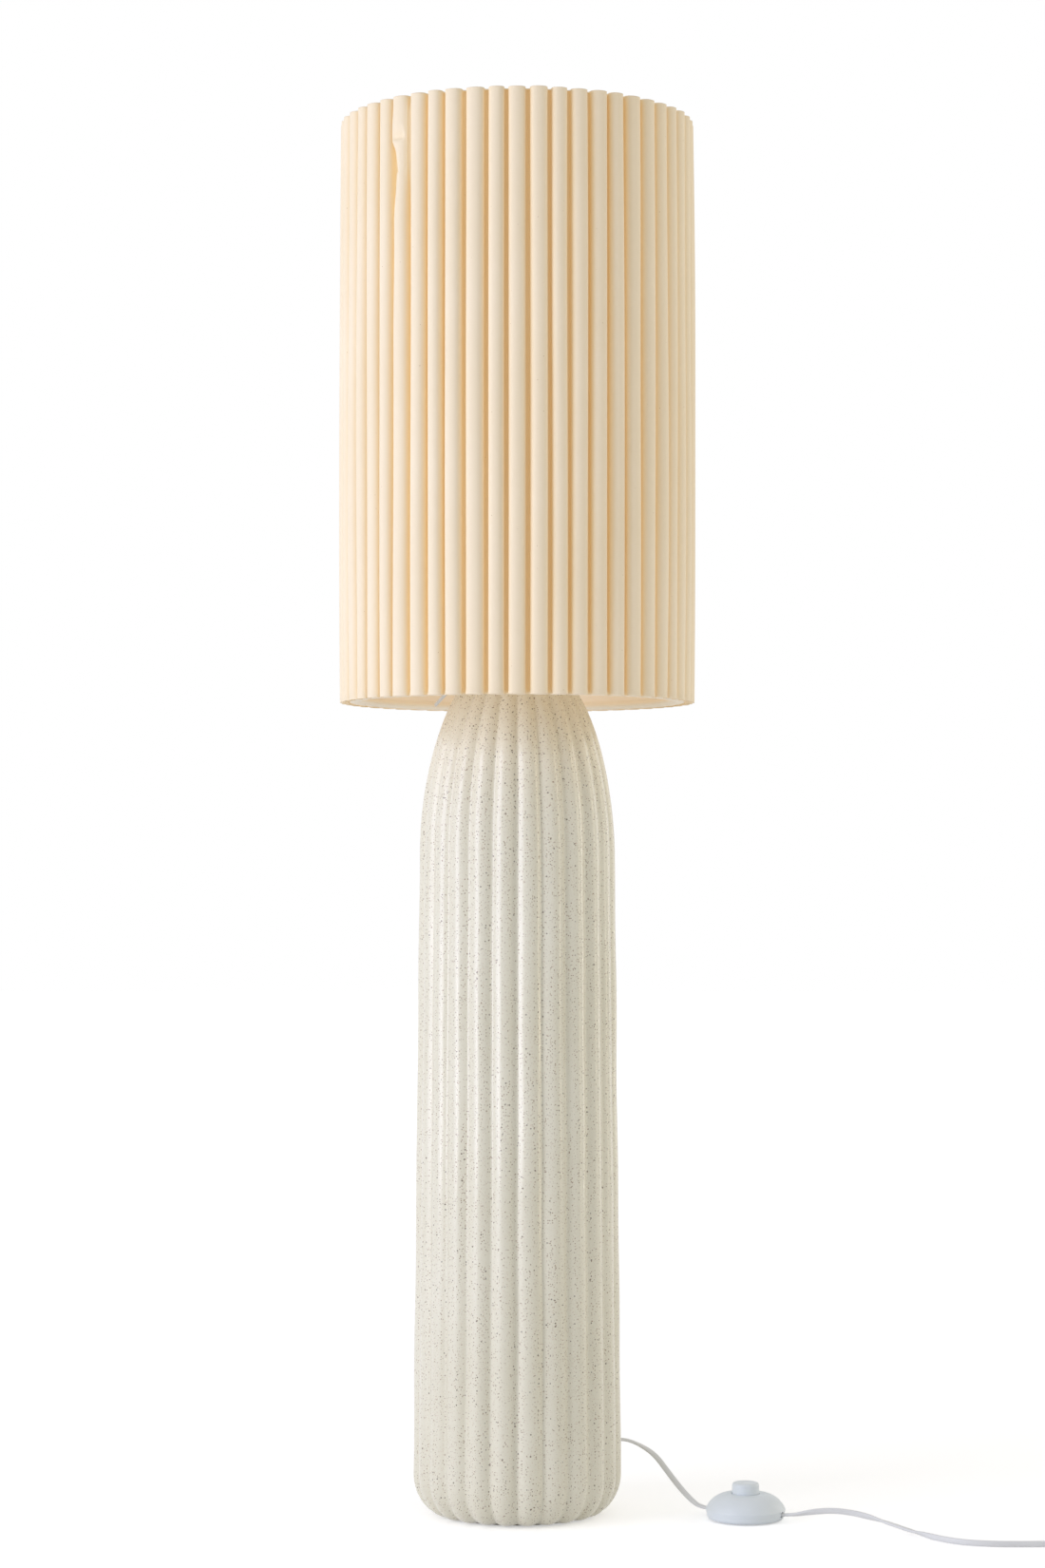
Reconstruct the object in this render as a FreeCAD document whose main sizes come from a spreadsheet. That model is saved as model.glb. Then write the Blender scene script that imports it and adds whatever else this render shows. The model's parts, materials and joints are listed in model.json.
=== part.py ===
"""Ceramic floor lamp: ribbed ceramic base, pleated drum shade, bulb, foot switch, mains cord and plug.

Millimetres, +Z up. The origin is on the floor under the middle of the base, and the front faces -Y.
"""

import FreeCAD
import Part
import Sketcher
import math
import os
import re

Vector = FreeCAD.Vector
UP = Vector(0, 0, 1)

# Driving sizes, each a cell of the sheet
SIZES = (
    # Ceramic base
    ("rib_count", 24),
    ("rib_depth", 4.0),
    ("foot_radius", 69.5),
    ("foot_round_out", 28.0),
    ("foot_round_up", 36.0),
    ("shoulder_radius", 92.0),
    ("shoulder_height", 610.0),
    ("dome_rise", 198.0),
    ("neck_radius", 28.9),
    ("ceramic_wall", 7.0),
    ("ceramic_top_wall", 9.0),
    ("foot_rim_width", 13.5),
    ("foot_lip", 10.0),
    ("felt_thick", 2.0),
    ("felt_inset", 1.0),
    ("washer_seat_depth", 15.0),
    ("washer_seat_play", 2.0),
    # Cord hole and grommet
    ("cord_hole_azimuth", 22.5),
    ("cord_hole_height", 61.0),
    ("grommet_wall", 1.6),
    ("grommet_flange", 2.5),
    ("grommet_flange_thick", 2.0),
    # Neck fittings
    ("tube_radius", 5.0),
    ("tube_bore_radius", 3.4),
    ("tube_end_length", 4.0),
    ("gasket_thick", 1.5),
    ("gasket_radius", 24.0),
    ("neck_cap_thick", 2.0),
    ("neck_cap_radius", 27.0),
    ("washer_thick", 1.5),
    ("washer_radius", 15.0),
    ("nut_height", 6.0),
    ("nut_circumradius", 9.8),
    # Lamp holder
    ("holder_cap_height", 19.0),
    ("holder_cap_radius", 20.5),
    ("holder_hub_radius", 9.5),
    ("holder_hub_height", 3.0),
    ("holder_cup_radius", 8.0),
    ("holder_wall", 2.3),
    ("holder_floor_thick", 6.0),
    ("holder_shell_height", 36.0),
    ("holder_shell_radius", 19.5),
    ("holder_flange_radius", 22.5),
    ("holder_flange_thick", 3.0),
    ("holder_core_radius", 16.7),
    ("holder_core_rise", 11.3),
    ("holder_core_drop", 6.0),
    ("holder_core_room", 1.0),
    ("contact_radius", 4.0),
    ("contact_thick", 0.8),
    ("side_contact_height", 5.7),
    ("side_contact_width", 3.0),
    ("side_contact_thick", 1.2),
    ("side_contact_place", 11.6),
    ("terminal_place", 9.0),
    ("terminal_head_radius", 2.8),
    ("terminal_head_height", 2.0),
    ("terminal_shank_radius", 1.4),
    ("terminal_shank_length", 8.0),
    ("clamp_ring_radius", 26.0),
    ("clamp_ring_height", 8.0),
    # Bulb
    ("bulb_cap_radius", 13.1),
    ("bulb_cap_height", 20.7),
    ("bulb_cap_wall", 1.0),
    ("bulb_play", 0.6),
    ("bulb_tip_radius", 4.6),
    ("bulb_tip_height", 1.2),
    ("bulb_insulator_radius", 10.3),
    ("bulb_housing_height", 37.0),
    ("bulb_housing_radius", 28.5),
    ("bulb_housing_wall", 2.0),
    ("bulb_collar_height", 4.0),
    ("bulb_sweep_radius", 59.2),
    ("bulb_globe_radius", 30.0),
    ("bulb_globe_wall", 1.5),
    # Shade
    ("pleat_count", 53),
    ("shade_radius", 167.0),
    ("pleat_depth", 16.0),
    ("pleat_width", 14.6),
    ("cloth_thick", 1.0),
    ("shade_height", 544.5),
    ("liner_thick", 0.8),
    ("liner_inset", 1.0),
    ("binding_height", 2.0),
    ("binding_thick", 0.8),
    ("wire_radius", 1.6),
    ("spoke_radius", 1.75),
    ("spoke_count", 3),
    ("spoke_drop", 65.0),
    ("spoke_turn", 3.3),
    ("spoke_root", 1.0),
    ("fitter_thick", 2.0),
    ("fitter_radius", 27.0),
    # Foot switch
    ("switch_x", 211.0),
    ("switch_y", -33.0),
    ("switch_turn", -26.0),
    ("switch_radius", 36.8),
    ("switch_seam_radius", 36.0),
    ("switch_sole_radius", 33.5),
    ("switch_pad_thick", 0.8),
    ("switch_pad_radius", 4.0),
    ("switch_pad_place", 26.0),
    ("switch_floor_thick", 2.2),
    ("switch_seam_height", 5.0),
    ("switch_wide_height", 9.5),
    ("switch_dome_height", 23.5),
    ("switch_dome_round", 23.0),
    ("switch_wall", 2.0),
    ("switch_entry_height", 6.5),
    ("button_radius", 12.5),
    ("button_play", 0.5),
    ("button_top_height", 33.5),
    ("button_round", 2.5),
    ("button_wall", 1.6),
    ("button_top_thick", 2.0),
    ("button_lip", 2.0),
    ("button_lip_thick", 1.7),
    ("stem_radius", 3.0),
    ("stem_engage", 1.0),
    ("contact_block_length", 14.0),
    ("contact_block_width", 12.0),
    ("contact_block_height", 11.0),
    ("contact_block_floor", 2.0),
    ("spring_radius", 6.2),
    ("spring_wire_radius", 0.45),
    ("spring_turns", 6),
    ("boss_place", 22.0),
    ("boss_radius", 3.0),
    ("screw_radius", 1.2),
    ("screw_head_radius", 2.6),
    ("screw_head_height", 1.5),
    ("screw_length", 9.0),
    ("clamp_length", 6.0),
    ("clamp_width", 13.0),
    ("clamp_height", 8.5),
    ("clamp_reach", 30.0),
    # Mains cord, coil, tie and plug
    ("cord_radius", 2.7),
    ("coil_x", 524.0),
    ("coil_y", -122.0),
    ("coil_inner_radius", 22.0),
    ("coil_pitch", 6.7),
    ("coil_layer_step", 6.8),
    ("tie_width", 8.0),
    ("tie_thick", 1.0),
    ("plug_length", 36.0),
    ("plug_width", 26.0),
    ("plug_neck_width", 14.0),
    ("plug_tail_width", 11.0),
    ("plug_waist_length", 12.0),
    ("plug_front_length", 7.2),
    ("plug_thick", 13.0),
    ("plug_edge", 2.0),
    ("relief_length", 22.0),
    ("relief_radius", 5.0),
    ("relief_wall", 1.0),
    ("pin_radius", 2.0),
    ("pin_root_radius", 1.7),
    ("pin_chamfer", 1.0),
    ("pin_length", 19.0),
    ("pin_spacing", 18.6),
    ("pin_depth", 10.0),
    # Clearances
    ("thread_gap", 0.15),
    ("slip_gap", 0.3),
    ("glue_gap", 0.1),
    ("turning_gap", 0.8),
    ("cut_past", 1.0),
)

# Sizes and places that follow from the driving ones
DERIVED = (
    ("foot_hole_radius", "foot_radius - foot_rim_width"),
    ("belly_radius", "foot_radius + foot_round_out"),
    ("belly_height", "felt_thick + foot_round_up"),
    ("neck_height", "shoulder_height + dome_rise * sqrt(1 - (neck_radius / shoulder_radius)^2)"),
    ("column_bore_low", "belly_radius - rib_depth - ceramic_wall"),
    ("column_bore_high", "shoulder_radius - rib_depth - ceramic_wall"),
    ("hollow_top", "neck_height - ceramic_top_wall"),
    ("cord_hole_radius", "cord_radius + thread_gap + grommet_wall + glue_gap"),
    ("grommet_reach", "belly_radius + grommet_flange_thick"),
    ("holder_floor", "neck_height + gasket_thick + neck_cap_thick"),
    ("holder_seat", "holder_floor + holder_cap_height"),
    ("core_bottom", "holder_seat - holder_core_drop"),
    ("core_top", "holder_seat + holder_core_rise"),
    ("bulb_seat", "core_top + contact_thick + thread_gap"),
    ("bulb_cap_bottom", "core_top + side_contact_height + slip_gap"),
    ("bulb_cap_top", "bulb_cap_bottom + bulb_cap_height"),
    ("globe_bottom", "bulb_cap_top + bulb_housing_height"),
    ("globe_rise", "sqrt(bulb_globe_radius^2 - bulb_housing_radius^2)"),
    ("globe_middle", "globe_bottom + globe_rise"),
    ("globe_bore", "bulb_globe_radius - bulb_globe_wall"),
    ("globe_mouth", "sqrt(globe_bore^2 - globe_rise^2)"),
    ("fitter_bottom", "holder_seat + holder_flange_thick"),
    ("fitter_middle", "fitter_bottom + fitter_thick / 2"),
    ("low_wire_height", "fitter_middle - spoke_drop"),
    ("shade_bottom", "low_wire_height - wire_radius - binding_height - slip_gap"),
    ("shade_top", "shade_bottom + shade_height"),
    ("top_wire_height", "shade_top - wire_radius - binding_height - slip_gap"),
    ("valley_radius", "shade_radius - pleat_depth"),
    ("liner_radius", "valley_radius - cloth_thick - glue_gap"),
    ("liner_bore", "liner_radius - liner_thick"),
    ("wire_ring_radius", "liner_bore - glue_gap - wire_radius"),
    ("switch_floor", "switch_pad_thick + switch_floor_thick"),
    ("button_hole_radius", "button_radius + button_play"),
    ("block_top", "switch_floor + contact_block_height"),
    ("spring_top", "button_top_height - button_top_thick"),
    ("coil_height", "cord_radius + tie_thick + thread_gap"),
    ("plug_middle", "plug_thick / 2"),
)

NAMES = {name for name, _ in SIZES} | {name for name, _ in DERIVED}

# Free stretches of the mains cord, as points on its middle line
LAMP_TO_SWITCH = (
    (91.93, 38.08, 61.0),
    (101.86, 42.2, 61.0),
    (117.4, 43.5, 54.5),
    (130.6, 36.0, 46.6),
    (140.7, 22.5, 34.6),
    (150.8, 8.5, 22.9),
    (161.2, -4.6, 13.0),
    (171.0, -13.49, 6.5),
    (185.47, -20.55, 6.5),
)
SWITCH_TO_COIL = (
    (233.47, -43.96, 6.5),
    (250.0, -52.02, 6.5),
    (268.0, -57.0, 8.6),
    (287.0, -59.6, 9.4),
    (306.0, -62.5, 8.6),
    (324.5, -70.0, 6.4),
    (340.5, -83.0, 4.0),
    (353.5, -101.0, 2.9),
    (366.0, -122.0, 2.7),
    (380.0, -142.0, 2.7),
    (397.0, -155.5, 2.7),
    (417.0, -161.6, 2.7),
    (441.0, -163.6, 2.7),
    (468.0, -163.4, 3.1),
    (494.0, -162.425, 3.85),
    (518.6, -162.425, 3.85),
)
COIL_TO_PLUG = (
    (566.1, -116.6, 10.65),
    (566.1, -102.0, 10.65),
    (566.8, -86.0, 8.5),
    (567.0, -70.0, 6.5),
    (567.0, -55.0, 6.5),
)
# Quarter turns of the coil: down layer, climb, top layer
COIL_QUARTER_COUNTS = (11, 2, 12)
CLIMB_STEEPNESS = 1.5
# Share of a cord's shorter run that each bend takes up
BEND_SHARE = 0.45
# Ribbed rings that the rounded foot and the dome are lofted through
FOOT_RINGS = 5
DOME_RINGS = 7

document = FreeCAD.newDocument("floor_lamp")
sheet = document.addObject("Spreadsheet::Sheet", "sizes")
nodes = []


def fill_sheet():
    """Writes the driving sizes and the formulas that follow from them into the sheet."""
    rows = [(name, str(number)) for name, number in SIZES]
    rows += [(name, "=" + formula) for name, formula in DERIVED]
    for row, (name, text) in enumerate(rows, start=1):
        sheet.set(f"A{row}", name)
        sheet.set(f"B{row}", text)
        sheet.setAlias(f"B{row}", name)
    document.recompute()


def link(text):
    """A formula with each size's name pointing at its cell."""
    return re.sub(r"[a-z_]+", lambda m: "sizes." + m[0] if m[0] in NAMES else m[0], text)


def size(text):
    """The present value of a size or formula."""
    return float(sheet.evalExpression(link(text)))


def keep(piece, name=None):
    """Marks an object as a sub-part whose file bears its label."""
    if name:
        piece.Label = name
    nodes.append(piece)
    return piece


def put(piece, x="0", y="0", z="0", turn="0"):
    """Places an object by formulas, turned about the vertical."""
    piece.Placement = FreeCAD.Placement(Vector(), FreeCAD.Rotation(UP, 0))
    for axis, text in zip("xyz", (x, y, z)):
        piece.setExpression("Placement.Base." + axis, link(text))
    piece.setExpression("Placement.Rotation.Angle", link(turn))
    return piece


def bind(piece, **formulas):
    """Ties an object's own properties to sizes."""
    for prop, text in formulas.items():
        piece.setExpression(prop, link(text))
    return piece


def rod(name, radius, height, **place):
    piece = document.addObject("Part::Cylinder", name)
    return put(bind(piece, Radius=radius, Height=height), **place)


def block(name, length, width, height, **place):
    piece = document.addObject("Part::Box", name)
    return put(bind(piece, Length=length, Width=width, Height=height), **place)


def cut(name, base, *tools):
    piece = document.addObject("Part::Cut", name)
    piece.Base = base
    piece.Tool = tools[0] if len(tools) == 1 else fuse(name + "_tools", *tools)
    return piece


def fuse(name, *parts):
    piece = document.addObject("Part::MultiFuse", name)
    piece.Shapes = list(parts)
    return piece


def group(name, *parts):
    """Separate solids that share one node."""
    piece = document.addObject("Part::Compound", name)
    piece.Links = list(parts)
    return piece


def sketch_on(body, role, name, lift="0"):
    """A sketch on one of the body's own origin planes."""
    plane = next(p for p in body.Origin.OriginFeatures if p.Role == role)
    sketch = body.newObject("Sketcher::SketchObject", name)
    sketch.AttachmentSupport = [(plane, "")]
    sketch.MapMode = "FlatFace"
    sketch.setExpression("AttachmentOffset.Base.z", link(lift))
    return sketch


def arc_between(start, end, radius):
    """The shorter arc from start to end, turning left for a positive radius, with the ends' numbers."""
    chord = end - start
    middle = (start + end) / 2
    left = Vector(-chord.y, chord.x, 0).normalize()
    rise = math.sqrt(radius**2 - (chord.Length / 2) ** 2)
    centre = middle + left * math.copysign(rise, radius)
    first, last = (start, end) if radius > 0 else (end, start)
    low = math.atan2(first.y - centre.y, first.x - centre.x)
    high = math.atan2(last.y - centre.y, last.x - centre.x)
    if high < low:
        high += 2 * math.pi
    circle = Part.Circle(centre, UP, abs(radius))
    return Part.ArcOfCircle(circle, low, high), (1, 2) if radius > 0 else (2, 1)


def draw(sketch, outline):
    """Draws a closed outline of points (across, up) or (across, up, radius of the arc to the next)."""
    points = [Vector(size(p[0]), size(p[1]), 0) for p in outline]
    ends = []
    for index, place in enumerate(outline):
        start, end = points[index], points[(index + 1) % len(points)]
        if len(place) == 2:
            edge, order = Part.LineSegment(start, end), (1, 2)
        else:
            edge, order = arc_between(start, end, size(place[2]))
        sketch.addGeometry(edge, False)
        ends.append(order)
    for index, place in enumerate(outline):
        following = (index + 1) % len(outline)
        sketch.addConstraint(
            Sketcher.Constraint("Coincident", index, ends[index][1], following, ends[following][0])
        )
        for kind, axis, text in (("DistanceX", -2, place[0]), ("DistanceY", -1, place[1])):
            if text == "0":
                sketch.addConstraint(Sketcher.Constraint("PointOnObject", index, ends[index][0], axis))
            else:
                dimension(sketch, kind, (-1, 1, index, ends[index][0]), text)
        if len(place) == 3:
            dimension(sketch, "Radius", (index,), place[2].lstrip("-"))


def dimension(sketch, kind, where, text):
    """A driving dimension tied to a formula."""
    number = sketch.addConstraint(Sketcher.Constraint(kind, *where, size(text)))
    sketch.setExpression(f"Constraints[{number}]", link(text))


def turned(name, outline, about="V_Axis", **place):
    """A turned piece: its half outline spun about the vertical, or about X with H_Axis."""
    body = document.addObject("PartDesign::Body", name)
    sketch = sketch_on(body, "XZ_Plane", name + "_outline")
    draw(sketch, outline)
    spin = body.newObject("PartDesign::Revolution", name + "_turning")
    spin.Profile = sketch
    spin.ReferenceAxis = (sketch, [about])
    spin.Angle = 360
    return put(body, **place)


def tube(name, inner, outer, bottom, top, **place):
    """A plain turned ring."""
    return turned(name, ((inner, bottom), (outer, bottom), (outer, top), (inner, top)), **place)


def hex_prism(name, circumradius, height, **place):
    piece = document.addObject("Part::Prism", name)
    piece.Polygon = 6
    return put(bind(piece, Circumradius=circumradius, Height=height), **place)


def shaped(name, shape):
    """A sub-part whose shape is worked out here from the sheet's values."""
    piece = document.addObject("Part::Feature", name)
    piece.Shape = shape
    return piece


# Ceramic base


def ribbed_ring(radius, height):
    """One level of the ribbed outside: convex arcs that meet in sharp grooves."""
    ribs = round(size("rib_count"))
    groove = radius * (1 - size("rib_depth") / size("belly_radius"))
    edges = []
    for rib in range(ribs):
        first, middle, last = (math.tau * (rib + part) / ribs for part in (0, 0.5, 1))
        ends = [Vector(groove * math.cos(a), groove * math.sin(a), height) for a in (first, last)]
        crest = Vector(radius * math.cos(middle), radius * math.sin(middle), height)
        edges.append(Part.Arc(ends[0], crest, ends[1]).toShape())
    return Part.Wire(edges)


def ribbed_outside():
    """Foot, column and dome, lofted through ribbed rings."""
    foot, column, dome = [], [], []
    bottom, belly, belly_height = (size(n) for n in ("felt_thick", "belly_radius", "belly_height"))
    shoulder, shoulder_height = size("shoulder_radius"), size("shoulder_height")
    for step in range(FOOT_RINGS):
        angle = math.pi / 2 * step / (FOOT_RINGS - 1)
        radius = size("foot_radius") + size("foot_round_out") * math.sin(angle)
        foot.append(ribbed_ring(radius, bottom + size("foot_round_up") * (1 - math.cos(angle))))
    column = [ribbed_ring(belly, belly_height), ribbed_ring(shoulder, shoulder_height)]
    last_angle = math.acos(size("neck_radius") / shoulder)
    for step in range(DOME_RINGS):
        angle = last_angle * step / (DOME_RINGS - 1)
        height = shoulder_height + size("dome_rise") * math.sin(angle)
        dome.append(ribbed_ring(shoulder * math.cos(angle), height))
    lofts = [Part.makeLoft(rings, True, rings is column) for rings in (foot, column, dome)]
    return lofts[0].fuse(lofts[1:]).removeSplitter()


def ceramic_base():
    outside = shaped("ribbed_outside", ribbed_outside())
    dome = document.addObject("Part::Ellipsoid", "hollow_dome")
    dome.Angle1 = 0
    across = "column_bore_high"
    bind(dome, Radius1="hollow_top - shoulder_height", Radius2=across, Radius3=across)
    put(dome, z="shoulder_height")
    hollow = turned(
        "hollow_column",
        (
            ("0", "felt_thick - cut_past"),
            ("foot_hole_radius", "felt_thick - cut_past"),
            ("foot_hole_radius", "felt_thick + foot_lip"),
            ("foot_radius - ceramic_wall", "felt_thick + foot_lip"),
            ("column_bore_low", "belly_height + ceramic_wall"),
            ("column_bore_high", "shoulder_height"),
            ("0", "shoulder_height"),
        ),
    )
    seat_radius = "washer_radius + washer_seat_play"
    seat = rod("washer_seat", seat_radius, "washer_seat_depth", z="hollow_top - washer_seat_depth")
    hole_length = "ceramic_top_wall + 2 * cut_past"
    neck_hole = rod("neck_hole", "tube_radius + slip_gap", hole_length, z="hollow_top - cut_past")
    cord_hole = turned(
        "cord_hole",
        (
            ("column_bore_low - ceramic_wall", "0"),
            ("grommet_reach + cut_past", "0"),
            ("grommet_reach + cut_past", "cord_hole_radius"),
            ("column_bore_low - ceramic_wall", "cord_hole_radius"),
        ),
        about="H_Axis",
        z="cord_hole_height",
        turn="cord_hole_azimuth",
    )
    keep(cut("ceramic_base", outside, dome, hollow, seat, neck_hole, cord_hole))
    keep(
        tube(
            "base_felt_ring",
            "foot_hole_radius + felt_inset",
            "foot_radius * (1 - rib_depth / belly_radius) - felt_inset",
            "0",
            "felt_thick",
        )
    )
    keep(
        turned(
            "cord_grommet",
            (
                ("column_bore_low - grommet_flange_thick", "cord_radius + thread_gap"),
                ("grommet_reach", "cord_radius + thread_gap"),
                ("grommet_reach", "cord_hole_radius + grommet_flange"),
                ("grommet_reach - grommet_flange_thick", "cord_hole_radius + grommet_flange"),
                ("grommet_reach - grommet_flange_thick", "cord_hole_radius - glue_gap"),
                ("column_bore_low - grommet_flange_thick", "cord_hole_radius - glue_gap"),
            ),
            about="H_Axis",
            z="cord_hole_height",
            turn="cord_hole_azimuth",
        )
    )


def neck_fittings():
    bore = "tube_radius + thread_gap"
    keep(tube("neck_gasket", bore, "gasket_radius", "neck_height", "neck_height + gasket_thick"))
    keep(tube("neck_cap", bore, "neck_cap_radius", "neck_height + gasket_thick", "holder_floor"))
    keep(tube("under_gasket", bore, "washer_radius", "hollow_top - gasket_thick", "hollow_top"))
    washer_bottom = "hollow_top - gasket_thick - washer_thick"
    keep(tube("clamp_washer", bore, "washer_radius", washer_bottom, "hollow_top - gasket_thick"))
    nut_bottom = washer_bottom + " - nut_height"
    blank = hex_prism("nut_blank", "nut_circumradius", "nut_height", z=nut_bottom)
    hole = rod("nut_hole", bore, "nut_height + 2 * cut_past", z=nut_bottom + " - cut_past")
    keep(cut("lock_nut", blank, hole))
    keep(
        tube(
            "threaded_tube",
            "tube_bore_radius",
            "tube_radius",
            nut_bottom + " - tube_end_length",
            "holder_floor + holder_floor_thick",
        )
    )


# Lamp holder and bulb


def lamp_holder():
    keep(
        turned(
            "holder_cap",
            (
                ("tube_radius + thread_gap", "holder_floor"),
                ("holder_hub_radius", "holder_floor"),
                ("holder_hub_radius", "holder_floor + holder_hub_height"),
                ("holder_cap_radius", "core_bottom - holder_core_room"),
                ("holder_cap_radius", "holder_seat"),
                ("holder_cap_radius - holder_wall", "holder_seat"),
                ("holder_cap_radius - holder_wall", "core_bottom - holder_core_room"),
                ("holder_cup_radius", "holder_floor + holder_floor_thick"),
                ("tube_radius + thread_gap", "holder_floor + holder_floor_thick"),
            ),
        )
    )
    core_bore = "holder_core_radius + slip_gap"
    bulb_bore = "bulb_cap_radius + bulb_play"
    step = "core_top + slip_gap"
    flange_top = "holder_seat + holder_flange_thick"
    shell_top = "holder_seat + holder_shell_height"
    keep(
        turned(
            "holder_shell",
            (
                (core_bore, "holder_seat"),
                ("holder_flange_radius", "holder_seat"),
                ("holder_flange_radius", flange_top),
                ("holder_shell_radius", flange_top),
                ("holder_shell_radius", shell_top),
                (bulb_bore, shell_top),
                (bulb_bore, step),
                (core_bore, step),
            ),
        )
    )
    screws, holes, tabs = [], [], []
    for side, sign in (("left", "-"), ("right", "")):
        place = {"x": sign + "terminal_place"}
        wide, deep = "terminal_shank_radius + glue_gap", "terminal_shank_length + cut_past"
        holes.append(rod(f"terminal_hole_{side}", wide, deep, z="core_bottom - cut_past", **place))
        screws.append(
            turned(
                f"terminal_screw_{side}",
                (
                    ("0", "core_bottom - terminal_head_height"),
                    ("terminal_head_radius", "core_bottom - terminal_head_height"),
                    ("terminal_head_radius", "core_bottom"),
                    ("terminal_shank_radius", "core_bottom"),
                    ("terminal_shank_radius", "core_bottom + terminal_shank_length - glue_gap"),
                    ("0", "core_bottom + terminal_shank_length - glue_gap"),
                ),
                **place,
            )
        )
        tabs.append(
            block(
                f"side_contact_{side}",
                "side_contact_thick",
                "side_contact_width",
                "side_contact_height",
                x=sign + "side_contact_place - side_contact_thick / 2",
                y="-side_contact_width / 2",
                z="core_top",
            )
        )
    core = rod("core_blank", "holder_core_radius", "core_top - core_bottom", z="core_bottom")
    keep(cut("holder_core", core, *holes))
    keep(group("terminal_screws", *screws))
    keep(group("side_contacts", *tabs))
    keep(rod("centre_contact", "contact_radius", "contact_thick", z="core_top"))
    keep(
        tube(
            "shade_clamp_ring",
            "holder_shell_radius + thread_gap",
            "clamp_ring_radius",
            "fitter_bottom + fitter_thick + slip_gap",
            "fitter_bottom + fitter_thick + slip_gap + clamp_ring_height",
        )
    )


def bulb():
    keep(rod("bulb_tip", "bulb_tip_radius", "bulb_tip_height", z="bulb_seat"))
    keep(
        turned(
            "bulb_insulator",
            (
                ("0", "bulb_seat + bulb_tip_height"),
                ("bulb_tip_radius", "bulb_seat + bulb_tip_height"),
                ("bulb_insulator_radius", "bulb_cap_bottom"),
                ("0", "bulb_cap_bottom"),
            ),
        )
    )
    inner = "bulb_cap_radius - bulb_cap_wall"
    keep(
        turned(
            "bulb_cap",
            (
                ("0", "bulb_cap_bottom"),
                ("bulb_cap_radius", "bulb_cap_bottom"),
                ("bulb_cap_radius", "bulb_cap_top"),
                (inner, "bulb_cap_top"),
                (inner, "bulb_cap_bottom + bulb_cap_wall"),
                ("0", "bulb_cap_bottom + bulb_cap_wall"),
            ),
        )
    )
    neck = "bulb_cap_top + bulb_collar_height"
    keep(
        turned(
            "bulb_housing",
            (
                (inner, "bulb_cap_top"),
                ("bulb_cap_radius + bulb_cap_wall", "bulb_cap_top"),
                ("bulb_cap_radius + bulb_cap_wall", neck, "-bulb_sweep_radius"),
                ("bulb_housing_radius", "globe_bottom"),
                ("bulb_housing_radius - bulb_housing_wall", "globe_bottom", "bulb_sweep_radius"),
                (inner, neck),
            ),
        )
    )
    keep(
        turned(
            "bulb_globe",
            (
                ("globe_mouth", "globe_bottom"),
                ("bulb_housing_radius", "globe_bottom", "bulb_globe_radius"),
                ("0", "globe_middle + bulb_globe_radius"),
                ("0", "globe_middle + globe_bore", "-globe_bore"),
            ),
        )
    )


# Shade


def pleat_wire(offset, bottom):
    """The closed pleated line, offset from the cloth's outer face towards the axis."""
    count = round(size("pleat_count"))
    pitch = math.tau / count
    crest = size("pleat_width") / 2
    crest_radius = crest - offset
    crest_middle = size("shade_radius") - crest
    half_gap = size("valley_radius") * math.tan(pitch / 2) - crest
    valley_middle = size("valley_radius") + half_gap
    edges = []

    def point(across, out, turn):
        along, side = math.cos(turn), math.sin(turn)
        return Vector(out * along - across * side, out * side + across * along, bottom)

    for pleat in range(count):
        turn = -math.pi / 2 + pitch * pleat
        half = math.pi / 4
        flank_low = point(-crest_radius, valley_middle, turn)
        left = point(-crest_radius, crest_middle, turn)
        top = point(0, crest_middle + crest_radius, turn)
        right = point(crest_radius, crest_middle, turn)
        flank_end = point(crest_radius, valley_middle, turn)
        aside, ahead = crest_radius * math.sin(half), crest_middle + crest_radius * math.cos(half)
        mid_left, mid_right = point(-aside, ahead, turn), point(aside, ahead, turn)
        following = point(-crest_radius, valley_middle, turn + pitch)
        floor = size("valley_radius") - offset
        bottom_point = Vector(floor * math.cos(turn + pitch / 2), floor * math.sin(turn + pitch / 2), bottom)
        edges.append(Part.LineSegment(flank_low, left).toShape())
        edges.append(Part.Arc(left, mid_left, top).toShape())
        edges.append(Part.Arc(top, mid_right, right).toShape())
        edges.append(Part.LineSegment(right, flank_end).toShape())
        edges.append(Part.Arc(flank_end, bottom_point, following).toShape())
    return Part.Wire(edges)


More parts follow.
